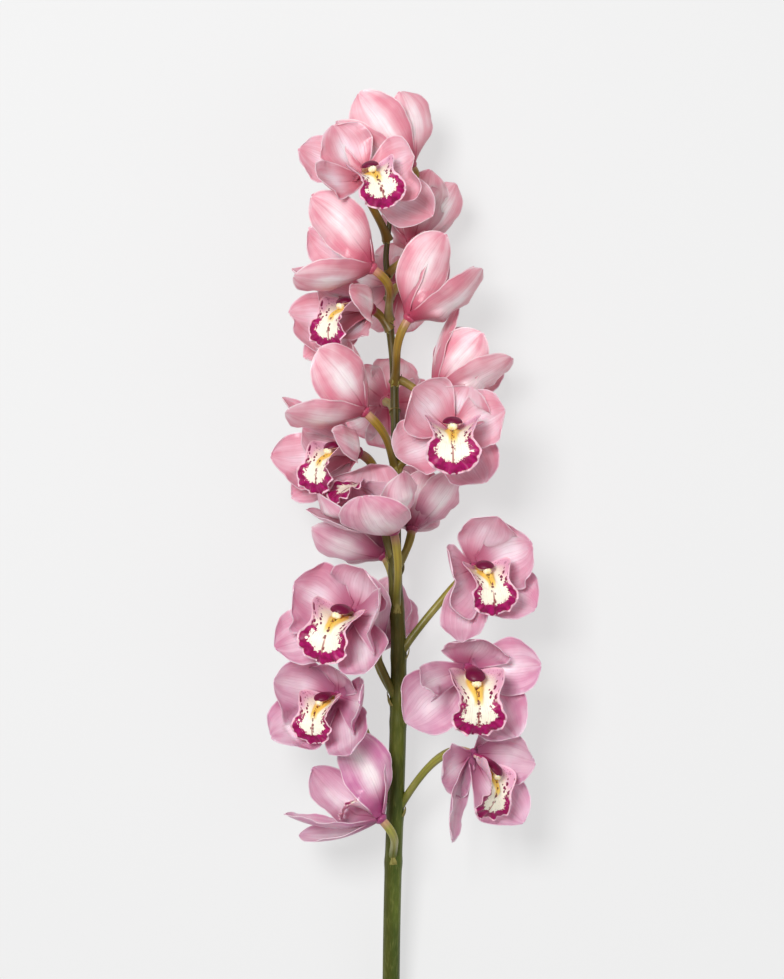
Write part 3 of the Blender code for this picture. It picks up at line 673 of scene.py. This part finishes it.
def cap_piece(flower, tone):
    """The pale cap: a squeezed ball with a crease down its middle."""
    s, a = round_grid(*COLUMN_GRID, *CAP_POLES)
    s = np.radians(s)
    rings = cap_surface(s, a)
    middle = rings.mean(axis=(0, 1))
    rings = scaled(rings, middle, 1 - CAP_CREASE * np.exp(-(((rings[..., 0] - middle[0]) / 0.6) ** 2)))
    return ringed(lip_piece_in_place(flower, rings), np.stack([s / np.pi, np.sin(a), 0 * s], -1), tone, CAP)


def receptacle_piece(flower, tone):
    """The short cup that the tepals grow from: a profile turned about the bloom's axis."""
    s, a = round_grid(*COLUMN_GRID)
    low = CORE_FOOT - 0.3
    height = low + (CORE_TOP - low) * s
    radius = CORE_RADIUS + CORE_BULGE * np.sin(np.pi * np.clip(s, 0, 1)) ** 1.2
    rings = np.stack([radius * np.cos(a), radius * np.sin(a), height], -1)
    return ringed(in_place(rings, flower), np.stack([0.02 + 0 * s, np.sin(a), 8 + 0 * s], -1), tone, TEPAL_OUT)


# Stalk, pedicels and scales

def stalk_piece():
    """Rings round the stem's axis, a little fuller where each pedicel leaves it, with faint lengthwise ribs."""
    rows, sides = STALK_GRID
    s, a = round_grid(rows, sides)
    y = s[:, 0] * STEM_LENGTH
    centres = stem_axis(y)
    along = np.gradient(centres, axis=0)
    along[0] = (0.0, 1.0, 0.0)
    feet = np.array([flower["foot"] for flower in BLOOMS], float)
    fuller = 1 + NODE_SWELLING * np.exp(-(((y[:, None] - feet) / 4.5) ** 2)).max(axis=1)
    rings = tube(centres, unit(along), np.tile((1.0, 0.0, 0.0), (rows, 1)), stem_radius(y) * fuller, sides)
    rings = scaled(rings, centres[:, None], 1 + STALK_RIB * np.cos(STALK_RIBS * a))
    rings[0, :, 1] = 0.0
    return ringed(rings, np.stack([s, np.sin(a), 0 * s], -1), STALK_TONE, STALK, start=CUT)


def pedicel_piece(flower, tone):
    """Rings along the pedicel's curve: flared at the foot, then the ovary with its soft ribs."""
    rows, sides = PEDICEL_GRID
    s, a = round_grid(rows, sides)
    line = s[:, 0]
    points, along, side = pedicel_curve(flower, line)
    flare = 1 + 0.55 * np.exp(-line * np.linalg.norm(points[-1] - points[0]) / 5.0)
    rings = tube(points, along, np.tile(side, (rows, 1)), pedicel_radius(line) * flare, sides)
    ribs = np.cos(OVARY_RIBS * a)
    swelling = OVARY_RIB * ribs * ease(s, 0.45, 0.65) * (1 - 0.7 * ease(s, 0.9, 1.0))
    rings = scaled(rings, points[:, None], 1 + swelling)
    return ringed(rings, np.stack([s, np.sin(a), ribs], -1), tone, PEDICEL)


def scale_piece(flower, tone):
    """The dry pointed scale under a pedicel: a narrow leaf that bows round its foot."""
    y = float(flower["foot"])
    points = pedicel_curve(flower, np.array([0.0, 0.3]))[0]
    up = np.array([0.0, 1.0, 0.0])
    out = unit((points[1] - points[0]) * (1 - up))
    s, t = grid_of(*SCALE_GRID, crowd=1.4)
    half = SCALE_WIDTH / 2 * (1 - s**1.8) ** 0.8
    away = stem_radius(y) - 0.6 + 2.6 * s + 0.9 * np.sin(np.pi * s) - 0.9 * t**2 * (1 - s)
    grid = stem_axis(y - 3.0) + np.cross(out, up) * (t * half)[..., None]
    grid = grid + out * away[..., None] + up * (SCALE_LENGTH * s)[..., None]
    return shell(grid, SCALE_THICKNESS + 0 * s, np.stack([s, t, half], -1), tone, SCALE, SCALE)


# Closed surfaces as (points, triangles, material of each triangle, place of each point, tone of each point)

def shell(grid, thickness, place, tone, inner, outer):
    """A grid given a thickness: a copy on each side of it, joined round the rim. The last row is one point."""
    rows, columns = grid.shape[:2]
    push = normals(grid) * (thickness / 2)[..., None]
    sides = []
    for side in (grid + push, grid - push):
        side[-1] = side[-1].mean(axis=0)
        sides.append(side.reshape(-1, 3))
    index = np.arange(rows * columns).reshape(rows, columns)
    index[-1] = index[-1, 0]
    a, b, c, d = index[:-1, :-1], index[1:, :-1], index[1:, 1:], index[:-1, 1:]
    top = np.concatenate([np.stack([a, b, c], -1).reshape(-1, 3), np.stack([a, c, d], -1).reshape(-1, 3)])
    rim = np.concatenate([index[0], index[1:, -1], index[::-1, 0][1:]])
    p, q = rim[:-1], rim[1:]
    under = rows * columns
    wall = np.concatenate([np.stack([p, q, q + under], -1), np.stack([p, q + under, p + under], -1)])
    faces = np.concatenate([top, top[:, ::-1] + under, wall])
    worn = np.concatenate([np.full(len(top), inner), np.full(len(top), outer), np.full(len(wall), inner)])
    whole = (faces[:, 0] != faces[:, 1]) & (faces[:, 1] != faces[:, 2]) & (faces[:, 0] != faces[:, 2])
    flat = place.reshape(-1, 3)
    return outward(np.concatenate(sides), faces[whole], worn[whole], np.concatenate([flat, flat]), tone)


def ringed(rings, place, tone, worn, start=None):
    """A row of rings closed by a fan at each end; start is the material of the first fan, if it differs."""
    rows, sides = rings.shape[:2]
    points, places = (
        np.concatenate([grid.reshape(-1, 3), grid[:1].mean(axis=1), grid[-1:].mean(axis=1)])
        for grid in (rings, place)
    )
    i = np.arange(rows - 1)[:, None] * sides
    j = np.arange(sides)
    k = (j + 1) % sides
    wall = [np.stack([i + j, i + k, i + sides + k], -1), np.stack([i + j, i + sides + k, i + sides + j], -1)]
    last = (rows - 1) * sides
    low = np.stack([k, j, np.full(sides, rows * sides)], -1)
    high = np.stack([last + j, last + k, np.full(sides, rows * sides + 1)], -1)
    faces = np.concatenate([wall[0].reshape(-1, 3), wall[1].reshape(-1, 3), low, high])
    wears = np.full(len(faces), worn)
    if start is not None:
        wears[-2 * sides:-sides] = start
    return outward(points, faces, wears, places, tone)


def outward(points, faces, worn, place, tone):
    """Drops unused points and turns the faces so that they point out of the solid."""
    used, faces = np.unique(faces, return_inverse=True)
    points = points[used]
    faces = faces.reshape(-1, 3)
    corners = points[faces]
    volume = np.sum(np.cross(corners[:, 0], corners[:, 1]) * corners[:, 2])
    return points, faces if volume > 0 else faces[:, ::-1], worn, place[used], np.full(len(points), tone)


def linked(name, data):
    """An object at the origin that shows a mesh, lamp or camera in the scene."""
    made = bpy.data.objects.new(name, data)
    bpy.context.scene.collection.objects.link(made)
    return made


def finished(name, parts, materials, node):
    """One object from closed surfaces, in the frame's metres, which stands for its plain solid."""
    points, faces, worn, place, tone = zip(*parts)
    starts = np.cumsum([0] + [len(own) for own in points[:-1]])
    points = (np.concatenate(points) - np.array(MIDDLE)) * MM
    faces = np.concatenate([own + start for own, start in zip(faces, starts)])
    mesh = bpy.data.meshes.new(name)
    mesh.vertices.add(len(points))
    mesh.vertices.foreach_set("co", points.astype(np.float32).ravel())
    mesh.loops.add(faces.size)
    mesh.loops.foreach_set("vertex_index", faces.astype(np.int32).ravel())
    mesh.polygons.add(len(faces))
    mesh.polygons.foreach_set("loop_start", np.arange(0, faces.size, 3, dtype=np.int32))
    mesh.polygons.foreach_set("material_index", np.concatenate(worn).astype(np.int32))
    for made in materials:
        mesh.materials.append(made)
    mesh.update(calc_edges=True)
    mesh.validate()
    layers = (("place", "FLOAT_VECTOR", "vector", place), ("tone", "FLOAT", "value", tone))
    for label, kind, field, values in layers:
        layer = mesh.attributes.new(label, kind, "POINT")
        layer.data.foreach_set(field, np.concatenate(values).astype(np.float32).ravel())
    mesh.shade_smooth()
    mesh.set_sharp_from_angle(angle=np.radians(SHARP_EDGE_DEGREES))
    made = linked(name, mesh)
    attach(made, "root")
    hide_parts(node)
    return made


# Shader building

def srgb(red, green, blue):
    """A colour named by its 0 to 255 values on a screen, as Blender's linear colour."""
    value = np.array([red, green, blue]) / 255
    linear = np.where(value <= 0.04045, value / 12.92, ((value + 0.055) / 1.055) ** 2.4)
    return (*linear.tolist(), 1.0)


def feed(tree, node, inputs):
    """Fills a node's inputs: one that is given a socket is linked to it, and any other gets its value."""
    for key, value in inputs.items():
        if isinstance(value, bpy.types.NodeSocket):
            tree.links.new(value, node.inputs[key])
        else:
            node.inputs[key].default_value = value


def add(tree, kind, inputs=(), **settings):
    """A new node of that kind, with its settings and then its inputs."""
    made = tree.nodes.new(kind)
    for key, value in settings.items():
        setattr(made, key, value)
    feed(tree, made, dict(inputs))
    return made


def maths(tree, operation, first, second=0.0, third=0.0):
    """One sum on up to three numbers or sockets."""
    return add(tree, "ShaderNodeMath", {0: first, 1: second, 2: third}, operation=operation).outputs[0]


def times(tree, first, *others):
    """All the factors multiplied together."""
    for other in others:
        first = maths(tree, "MULTIPLY", first, other)
    return first


def between(tree, value, low, high, start=0.0, end=1.0):
    """start at low, end at high, with a smooth step between."""
    inputs = {"Value": value, "From Min": low, "From Max": high, "To Min": start, "To Max": end}
    return add(tree, "ShaderNodeMapRange", inputs, interpolation_type="SMOOTHSTEP").outputs["Result"]


def blended(tree, share, first, second):
    """The first colour where share is 0 and the second where it is 1; each is a socket or 0 to 255 values."""
    first, second = (c if isinstance(c, bpy.types.NodeSocket) else srgb(*c) for c in (first, second))
    return add(tree, "ShaderNodeMix", {0: share, 6: first, 7: second}, data_type="RGBA").outputs[2]


def noise(tree, vector, scale, detail=2.0, roughness=0.5):
    """Soft cloudy noise about 0.5."""
    inputs = {"Vector": vector, "Scale": scale, "Detail": detail, "Roughness": roughness}
    return add(tree, "ShaderNodeTexNoise", inputs).outputs["Fac"]


def cells(tree, vector, scale):
    """The distance from the nearest of many scattered points."""
    return add(tree, "ShaderNodeTexVoronoi", {"Vector": vector, "Scale": scale}).outputs["Distance"]


def stretched(tree, vector, scale):
    """A vector with each of its numbers scaled on its own."""
    return add(tree, "ShaderNodeVectorMath", {0: vector, 1: scale}, operation="MULTIPLY").outputs[0]


def split(tree, vector):
    """The three numbers of a vector."""
    return add(tree, "ShaderNodeSeparateXYZ", {0: vector}).outputs


def joined(tree, x, y, z=0.0):
    """A vector from three numbers."""
    return add(tree, "ShaderNodeCombineXYZ", {0: x, 1: y, 2: z}).outputs[0]


def spot_in_space(tree):
    """The point's place in the piece's own metres."""
    return add(tree, "ShaderNodeTexCoord").outputs["Object"]


def kept(tree, name, output):
    """What the mesh keeps at the point under that name."""
    return add(tree, "ShaderNodeAttribute", attribute_name=name).outputs[output]


def up_the_stem(tree):
    """0 at the lowest blooms and 1 at the top ones, by the place along the stem."""
    return between(tree, split(tree, spot_in_space(tree))[1], -0.10, 0.20)


def shader_group(name, inputs=()):
    """An empty node group with those number inputs, and the sockets that carry them."""
    tree = bpy.data.node_groups.new(name, "ShaderNodeTree")
    for label in inputs:
        tree.interface.new_socket(label, in_out="INPUT", socket_type="NodeSocketFloat")
    return tree, tree.nodes.new("NodeGroupInput").outputs


def group_of(tree, results):
    """The node group, once each of its results has an output."""
    for label in results:
        tree.interface.new_socket(label, in_out="OUTPUT", socket_type="NodeSocketFloat")
    feed(tree, tree.nodes.new("NodeGroupOutput"), results)
    return tree


def placed(tree, group, **inputs):
    """The results of a node group used in a material."""
    return add(tree, "ShaderNodeGroup", inputs, node_tree=group).outputs


def petal_flesh_group():
    """Lengthwise veins that wander a little, pale cloudy patches, and a finely beaded skin."""
    tree, given = shader_group("petal flesh", ["Veins"])
    spot = spot_in_space(tree)
    place = kept(tree, "place", "Vector")
    along, across, _ = split(tree, place)
    drift = maths(tree, "MULTIPLY_ADD", noise(tree, spot, 45.0), 0.22, across)
    spread = times(tree, maths(tree, "MULTIPLY_ADD", along, 0.18, 0.9), drift)
    phase = times(tree, spread, times(tree, given["Veins"], np.pi))
    line = maths(tree, "ABSOLUTE", maths(tree, "SINE", phase))
    strong = between(tree, noise(tree, stretched(tree, place, (1.2, 6.0, 0.0)), 1.6), 0.3, 0.7)
    vein = times(tree, maths(tree, "SUBTRACT", 1.0, between(tree, line, 0.0, 0.30)), strong)
    shifted = joined(tree, along, drift, times(tree, kept(tree, "tone", "Fac"), 9.0))
    streak = noise(tree, stretched(tree, shifted, (1.0, 2.6, 1.0)), 1.4)
    fine = noise(tree, stretched(tree, shifted, (1.6, 16.0, 1.0)), 1.5)
    patch = maths(tree, "ADD", times(tree, streak, 0.42), times(tree, noise(tree, spot, 55.0), 0.46))
    patch = between(tree, maths(tree, "MULTIPLY_ADD", fine, 0.12, patch), 0.36, 0.66)
    height = maths(tree, "MULTIPLY_ADD", vein, -0.8, times(tree, cells(tree, spot, 2600.0), 0.18))
    return group_of(tree, {"Vein": vein, "Patch": patch, "Height": height})


def ragged_band_group():
    """1 inside a band that follows a margin, 1 mm in: its near edge is clean, its far edge torn by noise."""
    tree, given = shader_group("ragged band", ["Distance", "End", "Tear"])
    tear = maths(tree, "SUBTRACT", noise(tree, spot_in_space(tree), 400.0, 4.0, 0.7), 0.5)
    torn = maths(tree, "MULTIPLY_ADD", tear, given["Tear"], given["Distance"])
    late = maths(tree, "SUBTRACT", given["Distance"], 1.0)
    early = maths(tree, "SUBTRACT", given["End"], torn)
    band = times(tree, between(tree, late, -0.3, 0.4), between(tree, early, -0.25, 0.35))
    return group_of(tree, {"Band": band})


def green_skin_group():
    """Lengthwise fibres, soft blotches and fine grain of a green stalk, in the piece's own place."""
    tree, _ = shader_group("green skin")
    spot = spot_in_space(tree)
    fibre = noise(tree, stretched(tree, spot, (1.0, 0.05, 1.0)), 900.0, 3.0, 0.6)
    blotch = noise(tree, stretched(tree, spot, (1.0, 0.35, 1.0)), 60.0, 3.0, 0.55)
    height = maths(tree, "MULTIPLY_ADD", fibre, 1.0, times(tree, noise(tree, spot, 2400.0), 0.4))
    return group_of(tree, {"Fibre": fibre, "Blotch": blotch, "Height": height})


def new_material(name, roughness, specular, flesh=0.0, flesh_depth=0.003):
    """A material, its node tree and its Principled shader; flesh is the share of light that soaks in."""
    made = bpy.data.materials.new(name)
    made.use_nodes = True
    shader = made.node_tree.nodes["Principled BSDF"]
    shader.inputs["Roughness"].default_value = roughness
    shader.inputs["Specular IOR Level"].default_value = specular
    shader.inputs["Subsurface Weight"].default_value = flesh
    shader.inputs["Subsurface Scale"].default_value = flesh_depth
    return made, made.node_tree, shader


def covered(tree, shader, colour, height, depth, strength=0.5):
    """Gives the shader its colour, and a bump of that height map, depth metres deep."""
    bump = add(tree, "ShaderNodeBump", {"Height": height, "Distance": depth, "Strength": strength})
    feed(tree, shader, {"Base Color": colour, "Normal": bump.outputs["Normal"]})


# Materials: along, across and margin are what the mesh keeps as place, so 0 to 1, -1 to 1 and millimetres

def tepal_material(
    name, flesh, low, top, deep_low, deep_top, pale, root_share, vein_share, rim_share, cloud_and_highlight_share
):
    """Lilac pink below and rose above, deeper at the root and down the midrib, with veins, pale clouds and a
    pale centre that is partly paler colour and partly painted highlight.
    """
    made, tree, shader = new_material(name, 0.34, 0.5, 0.32, 0.004)
    shader.inputs["Subsurface Radius"].default_value = (1.0, 0.38, 0.50)
    along, across, margin = split(tree, kept(tree, "place", "Vector"))
    side = maths(tree, "ABSOLUTE", across)
    skin = placed(tree, flesh, Veins=TEPAL_VEINS)
    up = up_the_stem(tree)
    light = blended(tree, up, low, top)
    deep = blended(tree, up, deep_low, deep_top)
    root = between(tree, along, 0.02, 0.42, root_share, 0.0)
    midrib = times(tree, between(tree, side, 0.012, 0.055, 0.55, 0.0), between(tree, along, 0.5, 1.0, 1.0, 0.2))
    broad = times(tree, between(tree, side, 0.0, 0.75, 0.12, 0.0), root_share)
    share = maths(tree, "ADD", maths(tree, "ADD", root, midrib), broad)
    share = maths(tree, "MINIMUM", maths(tree, "MULTIPLY_ADD", kept(tree, "tone", "Fac"), 0.16, share), 1.0)
    colour = blended(tree, share, light, deep)
    # Pale centre down each tepal's middle, partly paler colour and partly painted highlight; with the pale
    # clouds it is blended to the pale colour.
    pale_centre_and_highlight = times(tree, between(tree, side, 0.62, 0.05), between(tree, along, 0.95, 0.55))
    cloud_and_highlight = maths(tree, "MULTIPLY_ADD", pale_centre_and_highlight, 0.75, times(tree, skin["Patch"], 0.62))
    cloud_and_highlight = times(tree, cloud_and_highlight, between(tree, along, 0.12, 0.50, 0.0, cloud_and_highlight_share))
    colour = blended(tree, cloud_and_highlight, colour, pale)
    veins = times(tree, skin["Vein"], between(tree, along, 1.0, 0.7, 0.1, vein_share))
    colour = blended(tree, veins, colour, deep)
    outer = times(tree, between(tree, side, 0.55, 1.0, 0.0, 0.22), between(tree, along, 1.0, 0.8))
    colour = blended(tree, outer, colour, deep)
    rim = times(tree, between(tree, margin, 0.35, 1.1, rim_share, 0.0), between(tree, along, 0.05, 0.2))
    colour = blended(tree, rim, colour, pale)
    feed(tree, shader, {"Roughness": maths(tree, "MULTIPLY_ADD", skin["Patch"], 0.08, 0.29)})
    covered(tree, shader, colour, skin["Height"], 0.00035, 0.55)
    return made


def lip_inner_material(flesh, ragged):
    """Cream throat with a yellow double keel and fine dots, spotted side lobes and a magenta band."""
    made, tree, shader = new_material("lip inside", 0.42, 0.32, 0.12)
    spot = spot_in_space(tree)
    along, across, margin = split(tree, kept(tree, "place", "Vector"))
    side = maths(tree, "ABSOLUTE", across)
    skin = placed(tree, flesh, Veins=LIP_VEINS)
    lobe = times(tree, between(tree, side, 0.40, 0.80), between(tree, along, 0.60, 0.50))
    colour = blended(tree, lobe, (250, 240, 220), (226, 168, 192))
    narrow = maths(tree, "MULTIPLY_ADD", along, 0.22, side)
    keel = times(tree, between(tree, narrow, 0.40, 0.28), between(tree, along, 0.68, 0.58), 0.92)
    colour = blended(tree, keel, colour, (236, 190, 66))
    # Brown-red dots run down the middle of the throat, and a thin line down the mid-lobe.
    middle = times(tree, between(tree, side, 0.12, 0.06), between(tree, along, 0.30, 0.42))
    dotted = times(tree, between(tree, cells(tree, spot, 420.0), 0.50, 0.34), middle, 0.95)
    colour = blended(tree, dotted, colour, (112, 34, 46))
    line = times(tree, between(tree, side, 0.05, 0.02), between(tree, along, 0.64, 0.78), 0.8)
    colour = blended(tree, line, colour, (150, 56, 60))
    # Spots on the side lobes crowd together towards their margin, with finer freckles behind them.
    front = times(tree, between(tree, along, 0.30, 0.46), between(tree, along, 0.66, 0.60))
    reach = between(tree, margin, 11.0, 2.0, 0.14, 0.48)
    spots = cells(tree, joined(tree, along, times(tree, across, 0.34)), 19.0)
    spotted = between(tree, maths(tree, "SUBTRACT", reach, spots), -0.04, 0.05)
    spotted = times(tree, spotted, times(tree, front, between(tree, side, 0.30, 0.46)))
    colour = blended(tree, spotted, colour, (122, 6, 66))
    freckles = between(tree, cells(tree, spot, 700.0), 0.36, 0.20)
    behind = times(tree, between(tree, along, 0.46, 0.34), between(tree, side, 0.45, 0.75, 0.0, 0.6))
    freckled = times(tree, freckles, behind)
    colour = blended(tree, freckled, colour, (176, 56, 112))
    streak = times(tree, skin["Vein"], between(tree, along, 0.56, 0.70), between(tree, margin, 13.0, 6.0))
    colour = blended(tree, streak, colour, (156, 24, 88))
    far = between(tree, along, 0.62, 0.95, 4.2, 9.4)
    band = placed(tree, ragged, Distance=margin, End=far, Tear=13.0)["Band"]
    band = times(tree, band, between(tree, along, 0.58, 0.64))
    magenta = blended(tree, between(tree, noise(tree, spot, 300.0), 0.3, 0.7), (132, 0, 70), (166, 8, 98))
    colour = blended(tree, band, colour, magenta)
    rim = times(tree, between(tree, margin, 1.5, 0.7), between(tree, along, 0.10, 0.30))
    colour = blended(tree, rim, colour, (238, 190, 206))
    covered(tree, shader, colour, skin["Height"], 0.0003)
    return made


def lip_outer_material(flesh, ragged):
    """The pale pink back of the lip, where the band shows through faintly."""
    made, tree, shader = new_material("lip outside", 0.42, 0.42, 0.18)
    along, _, margin = split(tree, kept(tree, "place", "Vector"))
    skin = placed(tree, flesh, Veins=LIP_VEINS)
    colour = blended(tree, skin["Vein"], (232, 190, 204), (212, 142, 168))
    band = placed(tree, ragged, Distance=margin, End=6.5, Tear=5.0)["Band"]
    band = times(tree, band, between(tree, along, 0.50, 0.62, 0.0, 0.45))
    covered(tree, shader, blended(tree, band, colour, (182, 70, 122)), skin["Height"], 0.0003)
    return made


def column_material():
    """Dark magenta hood over a pinkish cream underside with small specks."""
    made, tree, shader = new_material("column", 0.40, 0.35, 0.06, 0.002)
    spot = spot_in_space(tree)
    along, height, _ = split(tree, kept(tree, "place", "Vector"))
    specks = between(tree, cells(tree, spot, 700.0), 0.36, 0.22, 0.0, 0.8)
    under = blended(tree, specks, (240, 214, 200), (176, 60, 100))
    top = blended(tree, between(tree, along, 0.25, 0.75), (176, 60, 110), (104, 2, 50))
    torn = maths(tree, "MULTIPLY_ADD", noise(tree, spot, 420.0), 0.5, height)
    colour = blended(tree, between(tree, torn, -0.05, 0.28), under, top)
    covered(tree, shader, colour, noise(tree, spot, 1500.0), 0.0002)
    return made


def cap_material():
    """Cream-white, a little yellower in its hollows."""
    made, tree, shader = new_material("pollen cap", 0.38, 0.5, 0.2)
    hollow = noise(tree, spot_in_space(tree), 480.0)
    colour = blended(tree, between(tree, hollow, 0.35, 0.7), (250, 240, 214), (240, 218, 158))
    covered(tree, shader, colour, hollow, 0.0003)
    return made


def stalk_material(fibres):
    """Leaf green below, olive to brown towards the top and on its left side."""
    made, tree, shader = new_material("green stalk", 0.46, 0.28, 0.05, 0.002)
    along = split(tree, kept(tree, "place", "Vector"))[0]
    skin = placed(tree, fibres)
    mottled = between(tree, skin["Blotch"], 0.35, 0.7)
    green = blended(tree, mottled, (60, 74, 12), (94, 106, 32))
    olive = blended(tree, mottled, (50, 44, 4), (80, 62, 12))
    aged = between(tree, maths(tree, "MULTIPLY_ADD", skin["Blotch"], 0.25, along), 0.42, 0.86)
    left = between(tree, split(tree, spot_in_space(tree))[0], -0.006, -0.013, 0.0, 0.45)
    colour = blended(tree, left, blended(tree, aged, green, olive), (74, 62, 22))
    colour = blended(tree, between(tree, skin["Fibre"], 0.45, 0.75, 0.0, 0.24), colour, (146, 150, 84))
    covered(tree, shader, colour, skin["Height"], 0.00025)
    return made


def pedicel_material(fibres):
    """Olive brown at the foot, yellow-green along the ribbed ovary with painted shade in the grooves between
    its ribs, flushed with rose under the bloom.
    """
    made, tree, shader = new_material("pedicel", 0.36, 0.36, 0.06, 0.002)
    along, _, rib = split(tree, kept(tree, "place", "Vector"))
    skin = placed(tree, fibres)
    up = up_the_stem(tree)
    foot = blended(tree, up, (98, 104, 32), (94, 70, 12))
    ovary = blended(tree, up, (150, 148, 66), (146, 112, 32))
    colour = blended(tree, between(tree, along, 0.15, 0.7), foot, ovary)
    # Painted shade: darker in the grooves between the ovary's ribs.
    colour = blended(tree, between(tree, rib, 0.2, -0.9, 0.0, 0.35), colour, (96, 76, 34))
    colour = blended(tree, between(tree, along, 0.88, 1.0, 0.0, 0.6), colour, (196, 130, 128))
    colour = blended(tree, between(tree, skin["Blotch"], 0.4, 0.75, 0.0, 0.4), colour, (178, 168, 106))
    covered(tree, shader, colour, skin["Height"], 0.00022)
    return made


def scale_material(fibres):
    """A papery olive scale with paler lengthwise lines and a brown tip."""
    made, tree, shader = new_material("dry scale", 0.62, 0.3)
    along = split(tree, kept(tree, "place", "Vector"))[0]
    skin = placed(tree, fibres)
    colour = blended(tree, between(tree, skin["Fibre"], 0.35, 0.7), (112, 104, 46), (150, 142, 80))
    colour = blended(tree, between(tree, along, 0.7, 1.0, 0.0, 0.6), colour, (96, 70, 34))
    covered(tree, shader, colour, skin["Height"], 0.0002, 0.6)
    return made


def cut_material():
    """The moist pale green cut face with darker fibre dots."""
    made, tree, shader = new_material("cut face", 0.35, 0.5)
    dots = cells(tree, spot_in_space(tree), 1100.0)
    colour = blended(tree, between(tree, dots, 0.42, 0.22), (196, 204, 140), (120, 138, 70))
    covered(tree, shader, colour, dots, 0.0002)
    return made


def floor_material():
    """The pale, plain floor, part grey and part glow."""
    made, _, shader = new_material("pale floor", 0.9, 0.2)
    shader.inputs["Base Color"].default_value = srgb(*FLOOR_COLOUR)
    shader.inputs["Emission Color"].default_value = (1.0, 1.0, 1.0, 1.0)
    shader.inputs["Emission Strength"].default_value = FLOOR_GLOW
    return made


# The stage

def euler_of(matrix):
    """The XYZ Euler angles of a rotation matrix."""
    y = -np.arcsin(np.clip(matrix[2, 0], -1, 1))
    x = np.arctan2(matrix[2, 1], matrix[2, 2])
    z = np.arctan2(matrix[1, 0], matrix[0, 0])
    return (float(x), float(y), float(z))


def area_light(name, place, size, power):
    """A square soft lamp that faces the blooms."""
    lamp = bpy.data.lights.new(name, "AREA")
    lamp.size = size
    lamp.energy = power
    made = linked(name, lamp)
    made.location = place
    away = unit(np.array(place) - np.array(LAMP_AIM))
    side = unit(np.cross((0.0, 1.0, 0.0), away))
    made.rotation_euler = euler_of(np.stack([side, np.cross(away, side), away], axis=1))


def stage():
    """Floor, even pale surroundings, a soft key light from the upper left, and the camera straight above."""
    half = FLOOR_SIZE / 2
    corners = [(x * half, y * half, -FLOOR_DROP) for x, y in ((-1, -1), (1, -1), (1, 1), (-1, 1))]
    mesh = bpy.data.meshes.new("floor")
    mesh.from_pydata(corners, [], [(0, 1, 2, 3)])
    mesh.materials.append(floor_material())
    floor = linked("floor", mesh)
    world = bpy.data.worlds.new("studio")
    world.use_nodes = True
    sky = world.node_tree.nodes["Background"]
    sky.inputs["Color"].default_value = (1.0, 1.0, 1.0, 1.0)
    sky.inputs["Strength"].default_value = WORLD_STRENGTH
    bpy.context.scene.world = world
    area_light("key light", KEY_PLACE, KEY_SIZE, KEY_POWER)
    area_light("fill light", FILL_PLACE, FILL_SIZE, FILL_POWER)
    lens = bpy.data.cameras.new("camera")
    lens.sensor_fit = "HORIZONTAL"
    lens.sensor_width = CAMERA_SENSOR
    lens.lens = CAMERA_LENS
    camera = linked("camera", lens)
    camera.location = (-MIDDLE[0] * MM, (CAMERA_ALONG - MIDDLE[1]) * MM, CAMERA_HEIGHT * MM)
    bpy.context.scene.camera = camera
    bpy.context.scene.view_settings.view_transform = "Standard"


def main():
    """Sets the stage, then makes each bloom from the lowest up, and last the stem with its stalks."""
    stage()
    flesh, ragged, fibres = petal_flesh_group(), ragged_band_group(), green_skin_group()
    tepal_materials = [tepal_material(name, flesh, **look) for name, look in TEPAL_LOOKS.items()]
    lip_materials = [
        lip_inner_material(flesh, ragged), lip_outer_material(flesh, ragged), column_material(), cap_material(),
    ]
    stem_materials = [stalk_material(fibres), pedicel_material(fibres), scale_material(fibres), cut_material()]
    stem_parts = [stalk_piece()]
    for number, flower in enumerate(BLOOMS, start=1):
        tone = (number * BLOOM_TONE_STEP) % 1.0
        parts = [receptacle_piece(flower, tone)]
        for place, kind in enumerate(TEPALS):
            parts.append(tepal_piece(number, flower, kind, (tone + TEPAL_TONE_STEP * place) % 1.0))
        finished(f"bloom_{number:02d}_petals", parts, tepal_materials, f"bloom_{number:02d}_tepals")
        parts = [lip_piece(flower, tone), column_piece(flower, tone), cap_piece(flower, tone)]
        finished(f"bloom_{number:02d}_lip_and_column", parts, lip_materials, f"bloom_{number:02d}_lip")
        stem_parts.append(pedicel_piece(flower, tone))
        stem_parts.append(scale_piece(flower, tone))
    finished("green_stem", stem_parts, stem_materials, "stem")


main()
